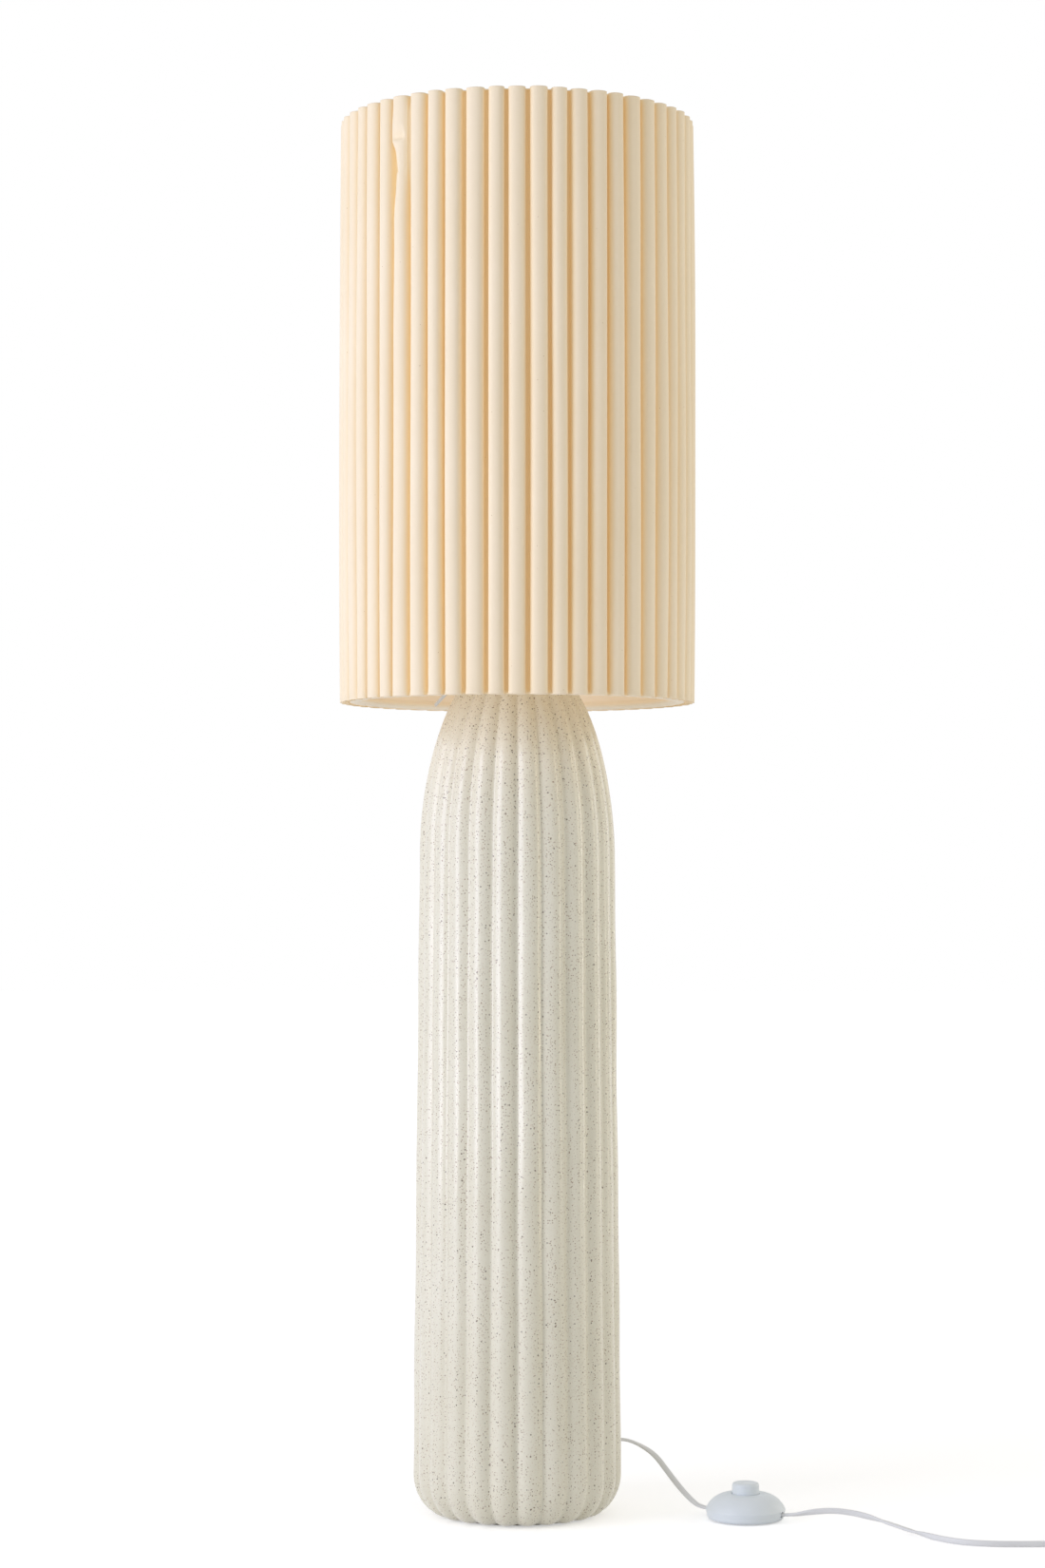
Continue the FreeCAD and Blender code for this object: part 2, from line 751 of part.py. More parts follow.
def shade():
    bore = "holder_shell_radius + turning_gap"
    fitter = keep(
        tube("shade_fitter_ring", bore, "fitter_radius", "fitter_bottom", "fitter_bottom + fitter_thick")
    )
    rings = []
    for name, height in (("shade_bottom_ring", "low_wire_height"), ("shade_top_ring", "top_wire_height")):
        ring = document.addObject("Part::Torus", name)
        bind(ring, Radius1="wire_ring_radius", Radius2="wire_radius")
        rings.append(keep(put(ring, z=height)))
    document.recompute()
    spokes = []
    for spoke in range(round(size("spoke_count"))):
        turn = FreeCAD.Rotation(UP, size("spoke_turn") + 360 * spoke / size("spoke_count"))
        start = turn.multVec(Vector(size("fitter_radius - spoke_root"), 0, size("fitter_middle")))
        end = turn.multVec(Vector(size("wire_ring_radius"), 0, size("low_wire_height")))
        wire = Part.makeCylinder(size("spoke_radius"), (end - start).Length, start, end - start)
        spokes.append(wire.cut([fitter.Shape, rings[0].Shape]))
    longest = [max(spoke.Solids, key=lambda solid: solid.Volume) for spoke in spokes]
    keep(shaped("shade_spokes", Part.Compound(longest)))
    liner_low, liner_high = "shade_bottom + liner_inset", "shade_top - liner_inset"
    keep(tube("shade_liner", "liner_bore", "liner_radius", liner_low, liner_high))
    band_in, band_out = "liner_bore - glue_gap - binding_thick", "liner_bore - glue_gap"
    keep(tube("shade_bottom_binding", band_in, band_out, "shade_bottom", "shade_bottom + binding_height"))
    keep(tube("shade_top_binding", band_in, band_out, "shade_top - binding_height", "shade_top"))
    wires = [pleat_wire(offset, size("shade_bottom")) for offset in (0, size("cloth_thick"))]
    ring = Part.makeFace(wires, "Part::FaceMakerBullseye")
    cloth = ring.extrude(Vector(0, 0, size("shade_height")))
    keep(shaped("shade_pleats", cloth))


# Foot switch


def foot_switch():
    here = {"x": "switch_x", "y": "switch_y", "turn": "switch_turn"}
    dome = (
        ("switch_seam_radius", "switch_seam_height"),
        ("switch_radius", "switch_wide_height", "switch_dome_round"),
        ("button_hole_radius", "switch_dome_height"),
    )
    inner = (
        ("button_hole_radius", "switch_dome_height - switch_wall", "-(switch_dome_round - switch_wall)"),
        ("switch_radius - switch_wall", "switch_wide_height"),
        ("switch_seam_radius - switch_wall", "switch_seam_height"),
    )
    shell = turned("cover_shell", dome + inner, **here)
    low = "switch_floor + slip_gap"
    closed = (("0", low), ("switch_seam_radius - switch_wall", low))
    inside = turned("cover_inside", closed + dome + (("0", "switch_dome_height"),), **here)
    cord_bore = turned(
        "switch_cord_bore",
        (
            ("-switch_radius - cut_past", "0"),
            ("switch_radius + cut_past", "0"),
            ("switch_radius + cut_past", "cord_radius + thread_gap"),
            ("-switch_radius - cut_past", "cord_radius + thread_gap"),
        ),
        about="H_Axis",
        z="switch_entry_height",
        **here,
    )
    bosses, pilots, screws, screw_holes, pads = [], [], [], [], []
    for number, sign in enumerate(("", "-")):
        spot = {
            "x": f"switch_x - {sign}boss_place * sin(switch_turn)",
            "y": f"switch_y + {sign}boss_place * cos(switch_turn)",
        }
        bosses.append(rod(f"boss_{number}", "boss_radius", "switch_dome_height", z=low, **spot))
        pilots.append(rod(f"pilot_{number}", "screw_radius + glue_gap", "screw_length", z=low, **spot))
        head_top = "switch_pad_thick + screw_head_height"
        screws.append(
            turned(
                f"switch_screw_{number}",
                (
                    ("0", "switch_pad_thick"),
                    ("screw_head_radius", "switch_pad_thick"),
                    ("screw_head_radius", head_top),
                    ("screw_radius", head_top),
                    ("screw_radius", "switch_pad_thick + screw_length"),
                    ("0", "switch_pad_thick + screw_length"),
                ),
                **spot,
            )
        )
        screw_holes.append(
            turned(
                f"screw_hole_{number}",
                (
                    ("0", "switch_pad_thick - cut_past"),
                    ("screw_head_radius + glue_gap", "switch_pad_thick - cut_past"),
                    ("screw_head_radius + glue_gap", head_top),
                    ("screw_radius + glue_gap", head_top),
                    ("screw_radius + glue_gap", "switch_floor + cut_past"),
                    ("0", "switch_floor + cut_past"),
                ),
                **spot,
            )
        )
    raised = document.addObject("Part::Common", "cover_bosses")
    raised.Base = inside
    raised.Tool = fuse("boss_rods", *bosses)
    keep(cut("switch_cover", fuse("cover_blank", shell, raised), cord_bore, *pilots))
    tray = turned(
        "switch_tray",
        (
            ("0", "switch_pad_thick"),
            ("switch_sole_radius", "switch_pad_thick", "switch_seam_height - switch_pad_thick"),
            ("switch_seam_radius", "switch_seam_height"),
            ("switch_seam_radius - switch_wall", "switch_seam_height"),
            ("switch_seam_radius - switch_wall", "switch_floor"),
            ("0", "switch_floor"),
        ),
        **here,
    )
    keep(cut("switch_base", tray, cord_bore, *screw_holes))
    keep(group("switch_screws", *screws))
    for corner in range(4):
        angle = f"(switch_turn + {90 * corner + 45})"
        spot = {
            "x": f"switch_x + switch_pad_place * cos{angle}",
            "y": f"switch_y + switch_pad_place * sin{angle}",
        }
        pads.append(rod(f"switch_pad_{corner}", "switch_pad_radius", "switch_pad_thick", **spot))
    keep(group("switch_feet", *pads))
    switch_button(here)
    switch_inside(here)


def switch_button(here):
    lip_top = "switch_dome_height - switch_wall - 2 * slip_gap"
    lip_bottom = lip_top + " - button_lip_thick"
    cup = "button_radius - button_wall"
    ceiling = "button_top_height - button_top_thick"
    keep(
        turned(
            "switch_button",
            (
                ("0", "block_top - stem_engage"),
                ("stem_radius", "block_top - stem_engage"),
                ("stem_radius", ceiling),
                (cup, ceiling),
                (cup, lip_bottom),
                ("button_radius + button_lip", lip_bottom),
                ("button_radius + button_lip", lip_top),
                ("button_radius", lip_top),
                ("button_radius", "button_top_height - button_round", "button_round"),
                ("button_radius - button_round", "button_top_height"),
                ("0", "button_top_height"),
            ),
            **here,
        )
    )


def switch_inside(here):
    def local(name, across, along, piece_size, lift):
        """A box set on the switch's own axes."""
        x = f"switch_x + ({across}) * cos(switch_turn) - ({along}) * sin(switch_turn)"
        y = f"switch_y + ({across}) * sin(switch_turn) + ({along}) * cos(switch_turn)"
        return block(name, *piece_size, x=x, y=y, z=lift, turn="switch_turn")

    solid = local(
        "contact_block_blank",
        "-contact_block_length / 2",
        "-contact_block_width / 2",
        ("contact_block_length", "contact_block_width", "contact_block_height"),
        "switch_floor",
    )
    stem_bore = rod(
        "stem_bore",
        "stem_radius + slip_gap",
        "contact_block_height",
        x="switch_x",
        y="switch_y",
        z="switch_floor + contact_block_floor",
    )
    keep(cut("switch_contact_block", solid, stem_bore))
    passage = turned(
        "clamp_passage",
        (
            ("-switch_radius", "0"),
            ("switch_radius", "0"),
            ("switch_radius", "cord_radius + glue_gap"),
            ("-switch_radius", "cord_radius + glue_gap"),
        ),
        about="H_Axis",
        z="switch_entry_height",
        **here,
    )
    clamp = ("clamp_length", "clamp_width", "clamp_height")
    halves = [
        local(f"cord_clamp_{side}", across, "-clamp_width / 2", clamp, "switch_floor")
        for side, across in (("in", "-clamp_reach"), ("out", "clamp_reach - clamp_length"))
    ]
    keep(cut("switch_cord_clamps", group("clamp_blocks", *halves), passage))
    bottom = size("block_top + slip_gap + spring_wire_radius")
    top = size("spring_top - slip_gap - spring_wire_radius")
    turns, radius = round(size("spring_turns")), size("spring_radius")
    middle = Vector(size("switch_x"), size("switch_y"), 0)

    def coil_point(quarter):
        angle = quarter * math.pi / 2
        rise = bottom + (top - bottom) * quarter / (4 * turns)
        slope = (top - bottom) / (math.tau * turns)
        place = middle + Vector(radius * math.cos(angle), radius * math.sin(angle), rise)
        return place, Vector(-radius * math.sin(angle), radius * math.cos(angle), slope).normalize()

    path = biarc_path([coil_point(quarter) for quarter in range(4 * turns + 1)])
    keep(shaped("switch_spring", wound_tube("switch_spring", path, size("spring_wire_radius"))))


# Cords


def tangent_arc(start, heading, end):
    """The arc that leaves start along heading and reaches end, or a line where they line up."""
    chord = end - start
    square = chord - heading * chord.dot(heading)
    if square.Length < 1e-7 * chord.Length:
        return Part.LineSegment(start, end).toShape()
    side = square / square.Length
    radius = chord.Length**2 / (2 * chord.dot(side))
    centre = start + side * radius
    halfway = (start + end) / 2 - centre
    return Part.Arc(start, centre + halfway * (radius / halfway.Length), end).toShape()


def biarc_path(stations):
    """Edges through points with headings, two tangent arcs from each to the next."""
    edges = []
    for (start, leaving), (end, arriving) in zip(stations, stations[1:]):
        chord = end - start
        both = leaving + arriving
        spread = 2 * (1 - leaving.dot(arriving))
        reach = chord.dot(both)
        if spread < 1e-9:
            length = chord.Length**2 / (2 * reach)
        else:
            length = (-reach + math.sqrt(reach**2 + spread * chord.dot(chord))) / spread
        joint = (start + end + (leaving - arriving) * length) / 2
        edges.append(tangent_arc(start, leaving, joint))
        backward = tangent_arc(end, -arriving, joint)
        backward.reverse()
        edges.append(backward)
    return edges


def wound_tube(name, edges, radius):
    """A round tube along tangent arcs, with its least gap to itself printed."""
    path = Part.Wire(Part.sortEdges(edges)[0])
    first = path.OrderedEdges[0]
    heading = first.tangentAt(first.FirstParameter)
    start = first.valueAt(first.FirstParameter)
    if (start - edges[0].Vertexes[0].Point).Length > 1e-6:
        raise ValueError("the path of " + name + " does not start where it should")
    ring = Part.Wire(Part.makeCircle(radius, start, heading))
    solid = path.makePipeShell([ring], True, False)
    if solid.Volume < 0:
        solid.reverse()
    expected = math.pi * radius**2 * path.Length
    spots = path.discretize(Number=2000)
    apart = 6 * radius
    step = path.Length / (len(spots) - 1)
    skip = int(apart / step) + 1
    gap = min(
        (a - b).Length
        for index, a in enumerate(spots)
        for b in spots[index + skip :: 3]
    )
    print(f"{name}: length {path.Length:.1f}, volume share {solid.Volume / expected:.4f}, "
          f"least gap {gap - 2 * radius:.2f}")
    return solid


def cord_tube(name, places):
    """A cord: straight runs joined by arcs as large as the runs allow."""
    radius = size("cord_radius")
    points = [Vector(*place) for place in places]
    edges, radii, here = [], [], points[0]
    for before, corner, after in zip(points, points[1:], points[2:]):
        coming, going = (corner - before), (after - corner)
        reach = BEND_SHARE * min(coming.Length, going.Length)
        turn = coming.getAngle(going)
        radii.append(reach / math.tan(turn / 2))
        start = corner - coming.normalize() * reach
        end = corner + going.normalize() * reach
        edges.append(Part.LineSegment(here, start).toShape())
        edges.append(tangent_arc(start, coming, end))
        here = end
    edges.append(Part.LineSegment(here, points[-1]).toShape())
    path = Part.Wire(edges)
    ring = Part.Wire(Part.makeCircle(radius, points[0], points[1] - points[0]))
    solid = path.makePipeShell([ring], True, False)
    if solid.Volume < 0:
        solid.reverse()
    expected = math.pi * radius**2 * path.Length
    print(f"{name}: length {path.Length:.1f}, volume share {solid.Volume / expected:.4f}, "
          f"radii {[round(r) for r in radii]}")
    return solid


def inner_cord():
    """The cord inside the base, from the grommet up to the lamp holder."""
    azimuth = math.radians(size("cord_hole_azimuth"))
    height, reach = size("cord_hole_height"), size("grommet_reach")
    outside = (reach * math.cos(azimuth), reach * math.sin(azimuth), height)
    places = (outside, (0, 0, height), (0, 0, size("core_bottom - slip_gap")))
    keep(shaped("inner_cord", cord_tube("inner_cord", places)))


def coil_station(quarter):
    """The coil's middle line at a quarter turn: inwards, up a layer, and outwards."""
    inward, climb, outward = COIL_QUARTER_COUNTS
    pitch = size("coil_pitch") / 4
    angle = -math.pi / 2 + quarter * math.pi / 2
    past = quarter - inward - climb
    into = inward - quarter
    radius = size("coil_inner_radius") + pitch * max(into, past, 0)
    drift = ((past > 0) + (past >= 0) - (into > 0) - (into >= 0)) / 2
    grow = drift * pitch / (math.pi / 2)
    share = min(max(-into / climb, 0), 1)
    rise = size("coil_layer_step") * share
    steady = size("coil_layer_step") / climb / (math.pi / 2)
    slope = CLIMB_STEEPNESS * steady if 0 < share < 1 else 0
    out = Vector(math.cos(angle), math.sin(angle), 0)
    along = Vector(-math.sin(angle), math.cos(angle), 0)
    middle = Vector(size("coil_x"), size("coil_y"), size("coil_height"))
    heading = along * radius + out * grow + UP * slope
    if quarter in (0, inward + climb + outward):
        heading = along
    return middle + out * radius + UP * rise, heading.normalize()


def cord_coil():
    stations = [coil_station(quarter) for quarter in range(sum(COIL_QUARTER_COUNTS) + 1)]
    lead = 2 * size("cord_radius")
    (first, leaving), (last, arriving) = stations[0], stations[-1]
    edges = [Part.LineSegment(first - leaving * lead, first).toShape()]
    edges += biarc_path(stations)
    edges.append(Part.LineSegment(last, last + arriving * lead).toShape())
    print("coil from", first - leaving * lead, "to", last + arriving * lead)
    keep(shaped("cord_coil", wound_tube("cord_coil", edges, size("cord_radius"))))
    clear = "(cord_radius + thread_gap)"
    inside = f"coil_inner_radius - {clear}"
    outer_turn = f"coil_pitch * {max(COIL_QUARTER_COUNTS) / 4}"
    band = f"{outer_turn} + 2 * {clear}"
    tall = f"coil_layer_step + 2 * {clear}"
    around = block(
        "tie_outside",
        "tie_width",
        band + " + 2 * tie_thick",
        tall + " + 2 * tie_thick",
        x="coil_x - tie_width / 2",
        y=f"coil_y + {inside} - tie_thick",
    )
    through = block(
        "tie_inside",
        "tie_width + 2 * cut_past",
        band,
        tall,
        x="coil_x - tie_width / 2 - cut_past",
        y=f"coil_y + {inside}",
        z="tie_thick",
    )
    keep(cut("cord_tie", around, through))


def plug():
    """A flat two-pin plug that lies on the floor, pins towards +Y."""
    tail = COIL_TO_PLUG[-1]
    here = {"x": str(tail[0]), "y": str(tail[1]), "z": "plug_middle", "turn": "90"}
    body = document.addObject("PartDesign::Body", "plug_moulding")
    sketch = sketch_on(body, "XY_Plane", "plug_outline", "-plug_thick / 2")
    wide, neck, end = "plug_width / 2", "plug_neck_width / 2", "plug_tail_width / 2"
    start, waist = "relief_length", "relief_length + plug_waist_length"
    front = "relief_length + plug_length"
    shoulder = front + " - plug_front_length"
    draw(
        sketch,
        (
            (start, "-" + end),
            (waist, "-" + neck),
            (shoulder, "-" + wide),
            (front, "-" + wide),
            (front, wide),
            (shoulder, wide),
            (waist, neck),
            (start, end),
        ),
    )
    pad = body.newObject("PartDesign::Pad", "plug_thickness")
    pad.Profile = sketch
    pad.setExpression("Length", link("plug_thick"))
    document.recompute()
    rim = [
        f"Edge{number}"
        for number, edge in enumerate(pad.Shape.Edges, start=1)
        if abs(edge.Vertexes[0].Z - edge.Vertexes[-1].Z) < 1e-6
    ]
    soft = body.newObject("PartDesign::Fillet", "plug_rounding")
    soft.Base = (pad, rim)
    soft.setExpression("Radius", link("plug_edge"))
    put(body, **here)
    relief = turned(
        "plug_relief",
        (
            ("0", "0"),
            ("relief_length + cut_past", "0"),
            ("relief_length + cut_past", "relief_radius"),
            ("0", "cord_radius + relief_wall"),
        ),
        about="H_Axis",
        **here,
    )
    pins, holes = [], []
    for side, sign in (("left", ""), ("right", "-")):
        spot = dict(here, x=f"{tail[0]} - {sign}pin_spacing / 2")
        rear, tip = f"{front} - pin_depth", f"{front} + pin_length"
        pins.append(
            turned(
                f"plug_pin_{side}",
                (
                    (rear, "0"),
                    (tip, "0"),
                    (tip, "pin_radius - pin_chamfer"),
                    (f"{tip} - pin_chamfer", "pin_radius"),
                    (front, "pin_radius"),
                    (front, "pin_root_radius"),
                    (rear, "pin_root_radius"),
                ),
                about="H_Axis",
                **spot,
            )
        )
        bore = "pin_root_radius + glue_gap"
        holes.append(
            turned(
                f"pin_hole_{side}",
                ((rear, "0"), (f"{front} + cut_past", "0"), (f"{front} + cut_past", bore), (rear, bore)),
                about="H_Axis",
                **spot,
            )
        )
    keep(cut("plug_body", fuse("plug_blank", body, relief), *holes))
    keep(group("plug_pins", *pins))


def cords():
    inner_cord()
    keep(shaped("cord_lamp_to_switch", cord_tube("cord_lamp_to_switch", LAMP_TO_SWITCH)))
    keep(shaped("cord_switch_to_coil", cord_tube("cord_switch_to_coil", SWITCH_TO_COIL)))
    cord_coil()
    keep(shaped("cord_coil_to_plug", cord_tube("cord_coil_to_plug", COIL_TO_PLUG)))
    plug()


def check_and_write():
    """Stops on any failed object or bad shape, then writes each sub-part."""
    document.recompute()
    for piece in document.Objects:
        if "Invalid" in piece.State or "Error" in piece.State:
            raise RuntimeError(f"{piece.Label} failed: {piece.State}")
    for piece in nodes:
        if piece.Shape.isNull() or not piece.Shape.isValid() or not piece.Shape.Solids:
            raise RuntimeError(f"{piece.Label} has no valid solid")
    os.makedirs("parts", exist_ok=True)
    for piece in nodes:
        piece.Shape.exportStep(f"parts/{piece.Label}.step")
        print(f"{piece.Label}: {len(piece.Shape.Solids)} solids, {piece.Shape.Volume:.0f} mm3")


fill_sheet()
ceramic_base()
neck_fittings()
lamp_holder()
bulb()
shade()
foot_switch()
cords()
check_and_write()
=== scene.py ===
import json
import math
import random

import bpy
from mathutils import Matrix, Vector


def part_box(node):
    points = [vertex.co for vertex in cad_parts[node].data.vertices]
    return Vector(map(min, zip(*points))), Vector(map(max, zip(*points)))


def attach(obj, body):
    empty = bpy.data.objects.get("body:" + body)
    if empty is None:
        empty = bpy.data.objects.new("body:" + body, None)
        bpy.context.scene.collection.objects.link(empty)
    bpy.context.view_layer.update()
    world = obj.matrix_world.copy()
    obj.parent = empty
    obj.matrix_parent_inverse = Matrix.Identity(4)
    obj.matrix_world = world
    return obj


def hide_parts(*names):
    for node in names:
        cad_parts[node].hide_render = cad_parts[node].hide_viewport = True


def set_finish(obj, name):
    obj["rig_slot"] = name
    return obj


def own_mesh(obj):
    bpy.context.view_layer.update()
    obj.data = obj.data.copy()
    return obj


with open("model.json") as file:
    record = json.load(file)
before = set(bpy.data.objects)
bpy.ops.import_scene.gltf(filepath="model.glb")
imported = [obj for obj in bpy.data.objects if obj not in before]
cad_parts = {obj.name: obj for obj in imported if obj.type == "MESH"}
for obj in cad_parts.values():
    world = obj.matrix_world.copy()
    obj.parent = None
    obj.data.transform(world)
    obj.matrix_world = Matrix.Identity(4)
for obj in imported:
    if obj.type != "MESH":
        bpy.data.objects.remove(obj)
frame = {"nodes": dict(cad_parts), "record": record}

# Ceramic floor lamp: ribbed speckled base, pleated cloth shade, foot switch and flat white flex.
MM = 0.001
scene = bpy.context.scene
nodes = frame["nodes"]
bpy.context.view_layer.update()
chance = random.Random(11)


# Camera

CAMERA_PLACE = (0.0049, -3.130, 0.593)
CAMERA_TILT = math.radians(91.587)
CAMERA_LENS, CAMERA_SENSOR = 76.56, 36


def make_camera():
    data = bpy.data.cameras.new("front_camera")
    data.lens = CAMERA_LENS
    data.sensor_width = CAMERA_SENSOR
    camera = bpy.data.objects.new("front_camera", data)
    camera.location = CAMERA_PLACE
    camera.rotation_euler = (CAMERA_TILT, 0, 0)
    scene.collection.objects.link(camera)
    scene.camera = camera


# Shapes

def ramp(value, low, high):
    """0 at low, 1 at high, straight between and level beyond; low may be the larger."""
    return min(max((value - low) / (high - low), 0.0), 1.0)


def ease(value, low, high):
    """0 below low, 1 above high, and smooth between."""
    share = ramp(value, low, high)
    return share * share * (3 - 2 * share)


def hump(value, rise, fall):
    """0, then up to 1 over the range rise, and down to 0 over the range fall."""
    return ease(value, *rise) * (1 - ease(value, *fall))


def squarish(angle, power):
    """A point on a rounded square that reaches 1 each way; a lower power gives squarer corners."""
    across, up = math.cos(angle), math.sin(angle)
    return math.copysign(abs(across) ** power, across), math.copysign(abs(up) ** power, up)


# Meshes

def make_piece(name, points, faces, body, slot, flat_map=None):
    """A smooth mesh piece from points in millimetres, with a flat map of the cloth in metres if given."""
    mesh = bpy.data.meshes.new(name)
    mesh.from_pydata([(x * MM, y * MM, z * MM) for x, y, z in points], [], faces)
    mesh.polygons.foreach_set("use_smooth", [True] * len(mesh.polygons))
    if flat_map:
        layer = mesh.uv_layers.new(name="flat")
        for polygon, spots in zip(mesh.polygons, flat_map):
            for loop, spot in zip(polygon.loop_indices, spots):
                layer.data[loop].uv = spot
    mesh.update()
    piece = bpy.data.objects.new(name, mesh)
    scene.collection.objects.link(piece)
    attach(piece, body)
    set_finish(piece, slot)
    return piece


def net_faces(rows, columns, wrap_rows=False, wrap_columns=True):
    """Quads of a net of points laid out row by row."""
    faces = []
    for row in range(rows if wrap_rows else rows - 1):
        for column in range(columns if wrap_columns else columns - 1):
            above, beside = (row + 1) % rows, (column + 1) % columns
            faces.append((row * columns + column, row * columns + beside,
                          above * columns + beside, above * columns + column))
    return faces


def tube_faces(rings, sides):
    """Faces of a tube laid out ring by ring, closed at both ends."""
    faces = net_faces(rings, sides)
    faces.append(tuple(reversed(range(sides))))
    faces.append(tuple(range((rings - 1) * sides, rings * sides)))
    return faces


def thicken(piece, thickness, offset):
    """Thickens a thin piece: in front of its faces at offset 1, behind them at -1, half each way at 0."""
    modifier = piece.modifiers.new("thickness", "SOLIDIFY")
    modifier.thickness = thickness * MM
    modifier.offset = offset


# Mains cord

LAMP_TO_SWITCH = (
    (91.93, 38.08, 61.0), (101.86, 42.2, 61.0), (117.4, 43.5, 54.5), (130.6, 36.0, 46.6),
    (140.7, 22.5, 34.6), (150.8, 8.5, 22.9), (161.2, -4.6, 13.0), (171.0, -13.49, 6.5),
    (185.47, -20.55, 6.5),
)
SWITCH_TO_COIL = (
    (233.47, -43.96, 6.5), (250.0, -52.02, 6.5), (268.0, -57.0, 10.6), (287.0, -59.6, 12.8),
    (306.0, -62.5, 11.4), (324.5, -70.0, 8.0), (340.5, -83.0, 4.6), (353.5, -101.0, 2.9),
    (366.0, -122.0, 2.7), (380.0, -142.0, 2.7), (397.0, -155.5, 2.7), (417.0, -161.6, 2.7),
    (441.0, -163.2, 2.7), (468.0, -162.6, 2.75), (494.0, -160.9, 2.8), (512.0, -160.0, 2.8),
)
COIL_TO_PLUG = (
    (563.4, -110.0, 8.5), (564.8, -97.0, 8.4), (566.6, -83.0, 7.4), (567.0, -69.0, 6.5),
    (567.0, -55.0, 6.5),
)
COIL_MIDDLE = (524.0, -122.0)
COIL_INNER_RADIUS, COIL_PITCH = 27.5, 3.5
COIL_FLOOR, COIL_LAYER_STEP = 2.8, 5.7
COIL_QUARTERS = (11, 2, 12)
COIL_POINTS_PER_QUARTER = 4
SPLINE_STEPS = 8
FLEX_HALF_WIDTH, FLEX_HALF_THICK = 2.7, 1.5
FLEX_SIDES, FLEX_POWER = 20, 0.72
# Stretches from a cord's start over which it tips up from its wide side, and back down
NEAR_TIP, NEAR_STRETCHES = -0.28, ((12, 52), (92, 128))
FAR_STRETCHES = (((8, 56), (82, 116)), ((138, 178), (1612, 1652)))


def coil_points():
    """The coil's turns: inwards on the floor, up a layer, and outwards again."""
    inward, climb, outward = COIL_QUARTERS
    step = math.pi / 2 / COIL_POINTS_PER_QUARTER
    # A smooth line drawn from points on a circle runs at this share of their radius
    pulled_in = 0.75 + 0.25 * math.cos(step)
    points = []
    for number in range((inward + climb + outward) * COIL_POINTS_PER_QUARTER + 1):
        quarter = number / COIL_POINTS_PER_QUARTER
        angle = -math.pi / 2 + number * step
        turns_out = max(inward - quarter, quarter - inward - climb, 0) / 4
        radius = (COIL_INNER_RADIUS + COIL_PITCH * turns_out) / pulled_in
        rise = COIL_LAYER_STEP * ease(quarter, inward, inward + climb)
        points.append((COIL_MIDDLE[0] + radius * math.cos(angle), COIL_MIDDLE[1] + radius * math.sin(angle),
                       COIL_FLOOR + rise))
    return points


def smooth_line(name, route):
    """Points along the smooth line that a route's points draw, in metres."""
    curve = bpy.data.curves.new(name, "CURVE")
    curve.dimensions = "3D"
    curve.resolution_u = SPLINE_STEPS
    spline = curve.splines.new("NURBS")
    spline.points.add(len(route) - 1)
    for spot, place in zip(spline.points, route):
        spot.co = (place[0] * MM, place[1] * MM, place[2] * MM, 1)
    spline.order_u = 3
    spline.use_endpoint_u = True
    holder = bpy.data.objects.new(name, curve)
    mesh = bpy.data.meshes.new_from_object(holder)
    line = [vertex.co.copy() for vertex in mesh.vertices]
    bpy.data.objects.remove(holder)
    bpy.data.meshes.remove(mesh)
    bpy.data.curves.remove(curve)
    return line


def flex_section():
    """The flat flex cut across: an oblong with round edges."""
    spots = []
    for number in range(FLEX_SIDES):
        across, up = squarish(math.tau * number / FLEX_SIDES, FLEX_POWER)
        spots.append((FLEX_HALF_WIDTH * across, FLEX_HALF_THICK * up))
    return spots


def flex_piece(name, line, tipped):
    """Flat flex along a line; tipped(distance) is 0 where it lies flat and 1 where it is on edge."""
    section = flex_section()
    points, travelled = [], 0.0
    for number, place in enumerate(line):
        before, after = line[max(number - 1, 0)], line[min(number + 1, len(line) - 1)]
        heading = (after - before).normalized()
        side = heading.cross(Vector((0, 0, 1))).normalized()
        up = side.cross(heading)
        travelled += (place - before).length / MM
        tip = math.pi / 2 * tipped(travelled)
        wide = side * math.cos(tip) + up * math.sin(tip)
        thin = up * math.cos(tip) - side * math.sin(tip)
        for across, rise in section:
            points.append(place / MM + wide * across + thin * rise)
    return make_piece(name, points, tube_faces(len(line), len(section)), "lamp", "cord_sheath")


def near_tip(distance):
    """Partly on edge where it drops from the base, flat at both ends."""
    return NEAR_TIP * hump(distance, *NEAR_STRETCHES)


def far_tip(distance):
    """On edge soon after the switch, flat again for a while, then on edge until just before the plug."""
    return sum(hump(distance, *stretches) for stretches in FAR_STRETCHES)


def make_cords():
    near = smooth_line("lamp_to_switch_line", LAMP_TO_SWITCH)
    near_flex = flex_piece("flex_lamp_to_switch", near, near_tip)
    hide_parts("cord_lamp_to_switch")
    switch = [nodes[name] for name in nodes if name.startswith("switch_") and name != "switch_spring"]
    switch.append(return_spring())
    far = smooth_line("switch_to_plug_line", SWITCH_TO_COIL + tuple(coil_points()) + COIL_TO_PLUG)
    far_flex = flex_piece("flex_switch_to_plug", far, far_tip)
    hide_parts("cord_switch_to_coil", "cord_coil", "cord_coil_to_plug")
    on_far = [nodes["plug_body"], nodes["plug_pins"], coil_strap()]


# Coil's strap

STRAP_HALF_WIDTH, STRAP_HEM, STRAP_THICK = 4.0, 0.4, 0.7
STRAP_CLEARANCE, STRAP_LOWEST = 0.3, 0.05
STRAP_STEPS, STRAP_OVERLAP_STEPS, STRAP_RISE_STEPS = 44, 9, 6
STRAP_LAP, STRAP_POWER = 0.9, 0.45


